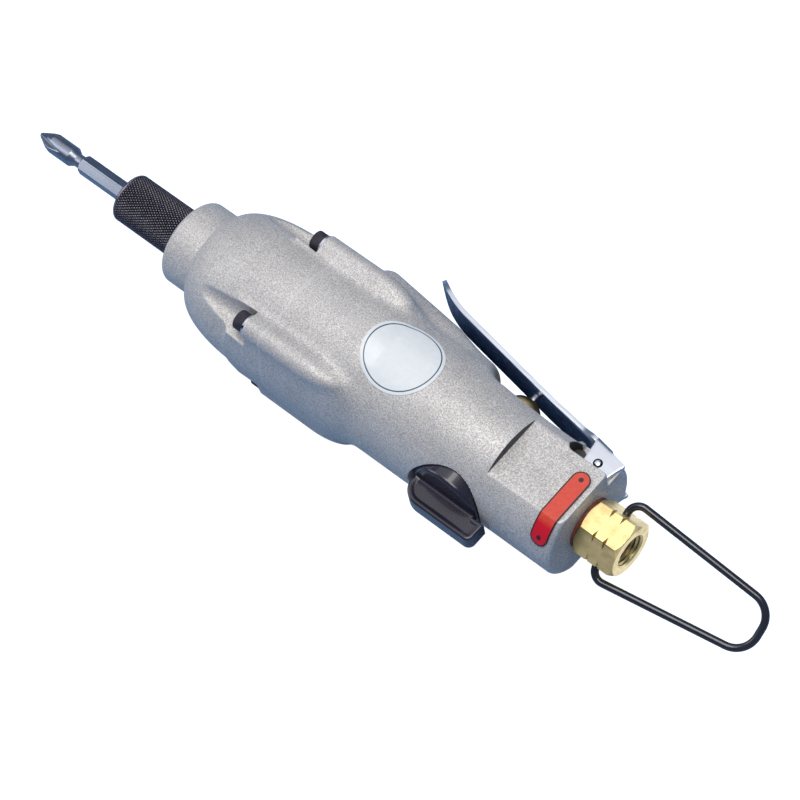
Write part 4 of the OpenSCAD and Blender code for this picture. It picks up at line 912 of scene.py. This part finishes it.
# Brass cap with a hole for the valve's stem
DOME_R, DOME_Y, DOME_RISE, STEM_HOLE_R = 5.9, 18.4, 4.2, 1.31
dome = [(10.6, 5.2), (15.5, 5.2), (15.5, DOME_R), (18.3, DOME_R)]
dome += [(DOME_Y + DOME_RISE * math.sin(math.radians(a)), DOME_R * math.cos(math.radians(a)))
         for a in range(2, 86, 4)]
dome += [(22.6, STEM_HOLE_R), (15.5, STEM_HOLE_R), (15.5, 2.2), (11.0, 2.2), (10.6, 2.2)]
pts, faces = turn_grid(dome, 96, axis="y", centre=(VALVE_X, 0, 0), closed=True)
add_mesh("brass_dome", pts, faces, BRASS, "housing", ["valve_cap"], 35, 1e-4)


# -------- reversing knob
# Grip bar under the disc: X from the axis, Y and radius of its round ends, and its half width
BAR_FRONT, BAR_REAR = (5.0, -23.0, 7.0), (14.9, -27.4, 2.6)
BAR_HALF, BAR_INNER, BAR_EDGE, DISC_EDGE = 3.3, 2.6, 0.7, 1.3
# The bar's top under the disc and, past BAR_STEP from the axis, behind it, and its hollow sides
BAR_TOP, BAR_STEP, BAR_REAR_TOP = -18.0, 12.6, -22.2
HOLLOW, HOLLOW_IN, HOLLOW_LEN = 0.45, 1.1, 1.2
GROOVE_R, GROOVE_HALF, GROOVE_DEPTH = 9.6, 1.52, 0.62


def knob_field(x, y, z):
    """Disc with a rounded rim, a hollow-sided bar across it and the detent's groove."""
    r = np.hypot(x - VALVE_X, z)
    d = np.hypot(np.maximum(r - KNOB_R + DISC_EDGE, 0),
                 np.maximum(slab(y, KNOB_Y - KNOB_T + DISC_EDGE, KNOB_Y + 3), 0)) - DISC_EDGE
    inner = np.maximum(np.maximum(r - KNOB_R, KNOB_Y - KNOB_T - y), -DISC_EDGE)
    d = np.where(d > -DISC_EDGE + 1e-6, d, inner)
    d = np.maximum(d, y - KNOB_Y)
    u = x - VALVE_X
    front, rear = [np.hypot(np.maximum(v - far, 0), np.maximum(level - y, 0)) - radius
                   for v, (far, level, radius) in ((-u, BAR_FRONT), (u, BAR_REAR))]
    plan = np.maximum(np.maximum(front, rear), KNOB_EDGE_Y - y)
    plan = np.maximum(plan, np.where(u > BAR_STEP, y - BAR_REAR_TOP, y - BAR_TOP))
    dish = HOLLOW * np.clip((-plan - HOLLOW_IN) / HOLLOW_LEN, 0, 1)
    side = np.abs(z) - BAR_INNER + dish
    bar = np.where((plan > -BAR_EDGE) & (side > 0),
                   np.hypot(np.maximum(plan + BAR_EDGE, 0), np.maximum(side, 0)) - BAR_EDGE,
                   np.maximum(plan, np.abs(z) - BAR_HALF + dish))
    d = blend_min(d, bar, 0.9)
    groove = np.maximum(np.abs(r - GROOVE_R) - GROOVE_HALF, KNOB_Y - GROOVE_DEPTH - y)
    return cut(d, groove, 0.15)


field_object("turn_knob", knob_field, (VALVE_X - 14.6, -31.8, -14.6),
             (VALVE_X + 20, -14.9, 14.6), 0.26, KNOB, "knob",
             ["reverse_knob"], angle=60)

# -------- air inlet and hanger
HEX_X, INLET_END, AF = 175.0, 191.0, 18.6
CORNER = AF / math.sqrt(3)
THREAD_R, THREAD_LEN, PITCH, NICKS = 5.7, 14.0, 1.34, (0.4, 0.66)
SPIGOT_X, SPIGOT_R, INLET_BORE_R = 161.0, 8.0, 4.2
HINGE_X, WIRE_R, HINGE_HOLE_R = 183.6, 1.32, 1.42


def inlet_radius(x, r, a):
    """Radius with the hexagon, its chamfers and nicks outside and the thread inside."""
    outer = r > CORNER - 0.01
    shape = hex_radius(AF, a, ROLL)
    cone = AF / 2 - 0.25 + 1.45 * np.minimum(x - HEX_X, INLET_END - x)
    shape = np.minimum(shape, cone)
    for share in NICKS:
        nick = CORNER - 1.15 + np.abs(x - HEX_X - 16 * share) * 1.9
        shape = np.minimum(shape, np.maximum(nick, AF / 2))
    thread = (np.abs(r - THREAD_R) < 0.05) & (x > INLET_END - THREAD_LEN + 1)
    crest = ridges(a / (2 * math.pi) + (x - INLET_END) / PITCH)
    fade = np.clip((INLET_END - 0.6 - x) / 0.8, 0, 1)
    return np.where(outer, shape, np.where(thread, r - 0.55 * fade * crest + 0.12, r))


profile = [(SPIGOT_X, SPIGOT_R), (HEX_X - 0.02, SPIGOT_R), (HEX_X, 8.6)]
profile += [(x, CORNER) for x in np.linspace(HEX_X, INLET_END, 129)]
profile += [(INLET_END, 7.9), (INLET_END, 6.4), (INLET_END - 0.55, 5.78)]
profile += [(x, THREAD_R) for x in np.linspace(INLET_END - 0.6, INLET_END - THREAD_LEN, 100)]
profile += [(INLET_END - THREAD_LEN, INLET_BORE_R), (SPIGOT_X, INLET_BORE_R)]
pts, faces = turn_grid(profile, 240, inlet_radius, closed=True)
bushing = add_mesh("brass_inlet", pts, faces, BRASS, "housing", ["inlet_bushing"], 24)
drill = []
for turn in (ROLL, ROLL + math.pi):
    p, f = turn_grid([(6.6, 0.0), (6.6, HINGE_HOLE_R), (12.0, HINGE_HOLE_R), (12.0, 0.0)], 40,
                     axis="z")
    p = np.array([Matrix.Rotation(turn - math.pi / 2, 4, "X") @ Vector(v) for v in p])
    drill.append((p + np.array((HINGE_X, 0, 0)), f))
drill = bpy.data.objects.new("drill", new_mesh("drill", *join_meshes(drill), weld=1e-4))
scene.collection.objects.link(drill)
bore = bushing.modifiers.new("hinge_holes", "BOOLEAN")
bore.operation, bore.solver, bore.object = "DIFFERENCE", "EXACT", drill
bpy.context.view_layer.update()
bored = bpy.data.meshes.new_from_object(
    bushing.evaluated_get(bpy.context.evaluated_depsgraph_get()))
bushing.modifiers.clear()
bushing.data = bored
bored.set_sharp_from_angle(angle=math.radians(24))
bpy.data.objects.remove(drill)


def route():
    """The hanger's wire in its own plane, as points and headings, as the source bends it."""
    corners = [(0, 6.66), (0, 14.5), (54.7, 8.7), (54.7, -8.7), (0, -14.5), (0, -6.66)]
    radii = [4, 8, 8, 4]
    pts = [np.array(c, float) for c in corners]
    out = [(pts[0], pts[1] - pts[0])]
    for i in range(1, 5):
        back, ahead = pts[i - 1] - pts[i], pts[i + 1] - pts[i]
        back, ahead = back / np.linalg.norm(back), ahead / np.linalg.norm(ahead)
        half = math.acos(np.clip(back.dot(ahead), -1, 1)) / 2
        reach = radii[i - 1] / math.tan(half)
        middle = (back + ahead) / np.linalg.norm(back + ahead)
        centre = pts[i] + middle * radii[i - 1] / math.sin(half)
        a, b = pts[i] + back * reach - centre, pts[i] + ahead * reach - centre
        start = math.atan2(a[1], a[0])
        turn = math.atan2(a[0] * b[1] - a[1] * b[0], a.dot(b))
        steps = 16
        for j in range(steps + 1):
            h = start + turn * j / steps
            p = centre + radii[i - 1] * np.array((math.cos(h), math.sin(h)))
            out.append((p, np.array((-math.sin(h), math.cos(h))) * (1 if turn > 0 else -1)))
    out.append((pts[5], pts[5] - pts[4]))
    return out


wire, ring = [], 28
for p, heading in route():
    t = heading / np.linalg.norm(heading)
    side = np.array((-t[1], t[0]))
    for k in range(ring):
        b = 2 * math.pi * k / ring
        along, off = p[0] + WIRE_R * math.cos(b) * side[0], WIRE_R * math.sin(b)
        y = p[1] + WIRE_R * math.cos(b) * side[1]
        x = along * math.cos(TILT) + off * math.sin(TILT)
        z = off * math.cos(TILT) - along * math.sin(TILT)
        wire.append((HINGE_X + x, y * math.cos(ROLL) - z * math.sin(ROLL),
                     y * math.sin(ROLL) + z * math.cos(ROLL)))
faces = grid_faces(len(wire) // ring, ring, flip=True) + end_faces(len(wire), ring, True)
add_mesh("wire_hanger", wire, faces, WIRE, "hanger", ["hanger_bail"], 40, 1e-4)


# -------- label and strip
def label_look():
    """White plastic disc with one plain dark ring near its rim."""
    look = Look("label_print", Roughness=0.32, Coat_Weight=0.3, Coat_Roughness=0.12)
    grain = look.noise(500.0, 2.0)
    ring = look.remap(look.gap(look.stored("radius"), LABEL_RING_R), 0.16, 0.26, 1.0, 0.0)
    white = look.mix(look.remap(grain, 0.3, 0.7), (0.87, 0.90, 0.90), (0.93, 0.95, 0.95))
    look.set(Base_Color=look.mix(ring, white, (0.03, 0.07, 0.14)))
    look.bump(grain, 0.01, 0.3)
    return look.material


LABEL_X, LABEL_R, LABEL_RING_R, LABEL_T = 97.9, 14.1, 12.75, 0.25
LABEL_ROLL, LABEL_NARROW = math.radians(3.3), 0.96


def on_skin(x, s, lift):
    """Points that lie lift above the housing's skin, at x and an arc length s from its top."""
    a = s / WAIST_R
    r = np.full(x.shape, BULB_R + 4.0)
    for _ in range(40):
        r = r - 0.9 * rear_field(x, r * np.sin(a), r * np.cos(a))
    return np.stack([x, (r + lift) * np.sin(a), (r + lift) * np.cos(a)], -1)


rim = [(r, LABEL_T) for r in np.linspace(0.2, LABEL_R - 0.25, 28)] + [
    (LABEL_R - 0.12, LABEL_T - 0.03), (LABEL_R - 0.03, LABEL_T - 0.1), (LABEL_R, LABEL_T - 0.2),
    (LABEL_R, 0.02), (LABEL_R - 0.3, 0.01)] + [(r, 0.01) for r in (11.0, 7.0, 4.0, 0.2)]
sides = 144
turns = np.arange(sides) * 2 * math.pi / sides
far = np.repeat([r for r, _ in rim], sides)
lift = np.repeat([t for _, t in rim], sides)
around = np.tile(turns, len(rim))
pts = on_skin(LABEL_X + far * np.cos(around),
              WAIST_R * LABEL_ROLL + LABEL_NARROW * far * np.sin(around), lift)
faces = grid_faces(len(rim), sides, flip=True) + end_faces(len(pts), sides)
mesh = new_mesh("round_badge", pts, faces)
store(mesh, "radius", far)
add_object("round_badge", mesh, label_look(), "housing", ["round_label"], 50)

STRIP_W, STRIP_X0, STRIP_TOP_Y, STRIP_END = 6.6, 165.7, 7.0, math.radians(66)
FLAT_HALF = math.sqrt(TAIL_R ** 2 - FLAT_Z ** 2)
FLAT_ANGLE = math.asin(FLAT_HALF / TAIL_R)


def on_tail(s, lift):
    """(y, z) of the tail's section at a length s along it from the flat's top end towards -Y."""
    y = STRIP_TOP_Y - s
    if y >= -FLAT_HALF:
        return y, FLAT_Z + lift
    a = FLAT_ANGLE + (-FLAT_HALF - y) / TAIL_R
    return -(TAIL_R + lift) * math.sin(a), (TAIL_R + lift) * math.cos(a)


STRIP_LEN = STRIP_TOP_Y + FLAT_HALF + (STRIP_END - FLAT_ANGLE) * TAIL_R


def strip_look():
    """Glossy red strip with a dark edge and two plain dots, painted lighter along the flat."""
    look = Look("strip_print", Roughness=0.40, Coat_Weight=0.1, Coat_Roughness=0.1)
    grain = look.noise(700.0, 3.0, 0.6)
    edge, along = look.stored("inset"), look.stored("along")
    # Painted light: the strip is lighter over the flat, which catches the lamp, than round the
    # curve.
    lit = look.remap(along, 0.68, 0.74, 1.0, 0.0)
    red = look.mix(lit, (0.80, 0.003, 0.024), (0.88, 0.080, 0.040))
    red = look.mix(look.remap(grain, 0.35, 0.7, 0.0, 0.25), red, (0.40, 0.01, 0.015))
    base = look.mix(look.remap(edge, 0.42, 0.52, 1.0, 0.0), red, (0.035, 0.008, 0.012))
    for place in (0.10, 0.90):
        y = look.times(look.minus(along, place), STRIP_LEN)
        x = look.times(look.minus(look.axis(0), (STRIP_X0 + STRIP_W / 2) * MM), 1 / MM)
        dot = look.remap(look.length(x, y), 0.75, 0.95, 1.0, 0.0)
        base = look.mix(dot, base, (0.05, 0.008, 0.014))
    look.set(Base_Color=base)
    look.bump(grain, 0.01, 0.3)
    return look.material


def strip_mesh():
    """Rounded strip as rows across its width, with how far each point is from its edge."""
    half = STRIP_W / 2
    along = [half * (1 - math.cos(math.radians(a))) for a in range(0, 91, 9)]
    rows = along + list(np.linspace(half, STRIP_LEN - half, 60))[1:-1]
    rows += [STRIP_LEN - s for s in along[::-1]]
    pts, inset, share, cols = [], [], [], 19
    for s in rows:
        near = min(s, STRIP_LEN - s)
        w = half if near >= half else math.sqrt(max(0.0, half * half - (half - near) ** 2))
        w = max(w, 0.01)
        for k in range(cols):
            x = -w * math.cos(math.pi * k / (cols - 1))
            gap = w - abs(x)
            if near < half:
                gap = half - math.hypot(half - near, x)
            y, z = on_tail(s, LABEL_T)
            pts.append((STRIP_X0 + half + x, y, z))
            inset.append(gap)
            share.append(s / STRIP_LEN)
    return pts, grid_faces(len(rows), cols, wrap_cols=False, flip=True), inset, share


pts, faces, inset, share = strip_mesh()
mesh = new_mesh("red_band", pts, faces)
store(mesh, "inset", inset)
store(mesh, "along", share)
band = add_object("red_band", mesh, strip_look(), "housing", ["red_strip"], 60)
thick = band.modifiers.new("thickness", "SOLIDIFY")
thick.thickness, thick.offset = 0.22 * MM, -1.0

# -------- floor, light and camera
FLOOR_Z, FLOOR_HALF = -25.4, 4000.0
mesh = new_mesh("floor", [(x * FLOOR_HALF, y * FLOOR_HALF, FLOOR_Z)
                          for x, y in ((-1, -1), (1, -1), (1, 1), (-1, 1))], [(0, 1, 2, 3)])
floor = bpy.data.objects.new("floor", mesh)
scene.collection.objects.link(floor)
floor_look = Look("floor_white", Roughness=0.9)
cloud = floor_look.noise(3.0, 2.0)
floor_look.set(Base_Color=floor_look.mix(cloud, (0.12, 0.21, 0.36), (0.14, 0.23, 0.38)),
               Emission_Color=(1, 1, 1, 1), Emission_Strength=1.0)
mesh.materials.append(floor_look.material)
lit_by_floor = bpy.data.collections.new("lit_by_floor")
lit_by_floor.objects.link(floor)
lit_by_floor.objects.link(bushing)
floor.light_linking.receiver_collection = lit_by_floor


def lamp(name, place, target, size, power, colour=(1, 1, 1)):
    data = bpy.data.lights.new(name, "AREA")
    data.shape, data.size, data.size_y = "RECTANGLE", size[0], size[1]
    data.energy, data.color = power, colour
    lamp_object = bpy.data.objects.new(name, data)
    scene.collection.objects.link(lamp_object)
    lamp_object.location = place
    look_at = Vector(target) - Vector(place)
    lamp_object.rotation_mode = "QUATERNION"
    lamp_object.rotation_quaternion = look_at.to_track_quat("-Z", "Y")


MIDDLE = (0.085, 0.0, 0.0)
lamp("key", (0.22, -0.06, 1.05), MIDDLE, (0.7, 0.7), 6.5, (1.0, 0.967, 0.92))
lamp("front", (-0.60, -0.28, 0.50), MIDDLE, (0.5, 0.5), 1.7, (0.98, 0.98, 1.0))
lamp("sheen", (-0.29, 0.24, 0.95), MIDDLE, (0.9, 0.9), 1.75, (1.0, 0.98, 0.96))

world = bpy.data.worlds.new("studio")
world.use_nodes = True
world.node_tree.nodes["Background"].inputs[0].default_value = (0.50, 0.68, 1.0, 1)
world.node_tree.nodes["Background"].inputs[1].default_value = 0.25
scene.world = world
scene.view_settings.view_transform = "Standard"

# The photograph's viewpoint, as a place in metres and the directions of the picture's axes
VIEW_ANGLE = 14.966857
RIGHT = (0.7500535, 0.6512369, -0.1153699)
UP = (-0.5333402, 0.6987319, 0.4767829)
BACK = (0.3911113, -0.2960813, 0.8714171)
EYE = (0.4859482, -0.2976404, 0.8663725)
camera_data = bpy.data.cameras.new("camera")
camera_data.sensor_width = 36.0
camera_data.lens = camera_data.sensor_width / 2 / math.tan(math.radians(VIEW_ANGLE / 2))
camera_data.clip_start, camera_data.clip_end = 0.05, 20.0
camera = bpy.data.objects.new("camera", camera_data)
scene.collection.objects.link(camera)
camera.matrix_world = Matrix([*zip(RIGHT, UP, BACK, EYE), (0, 0, 0, 1)])
scene.camera = camera
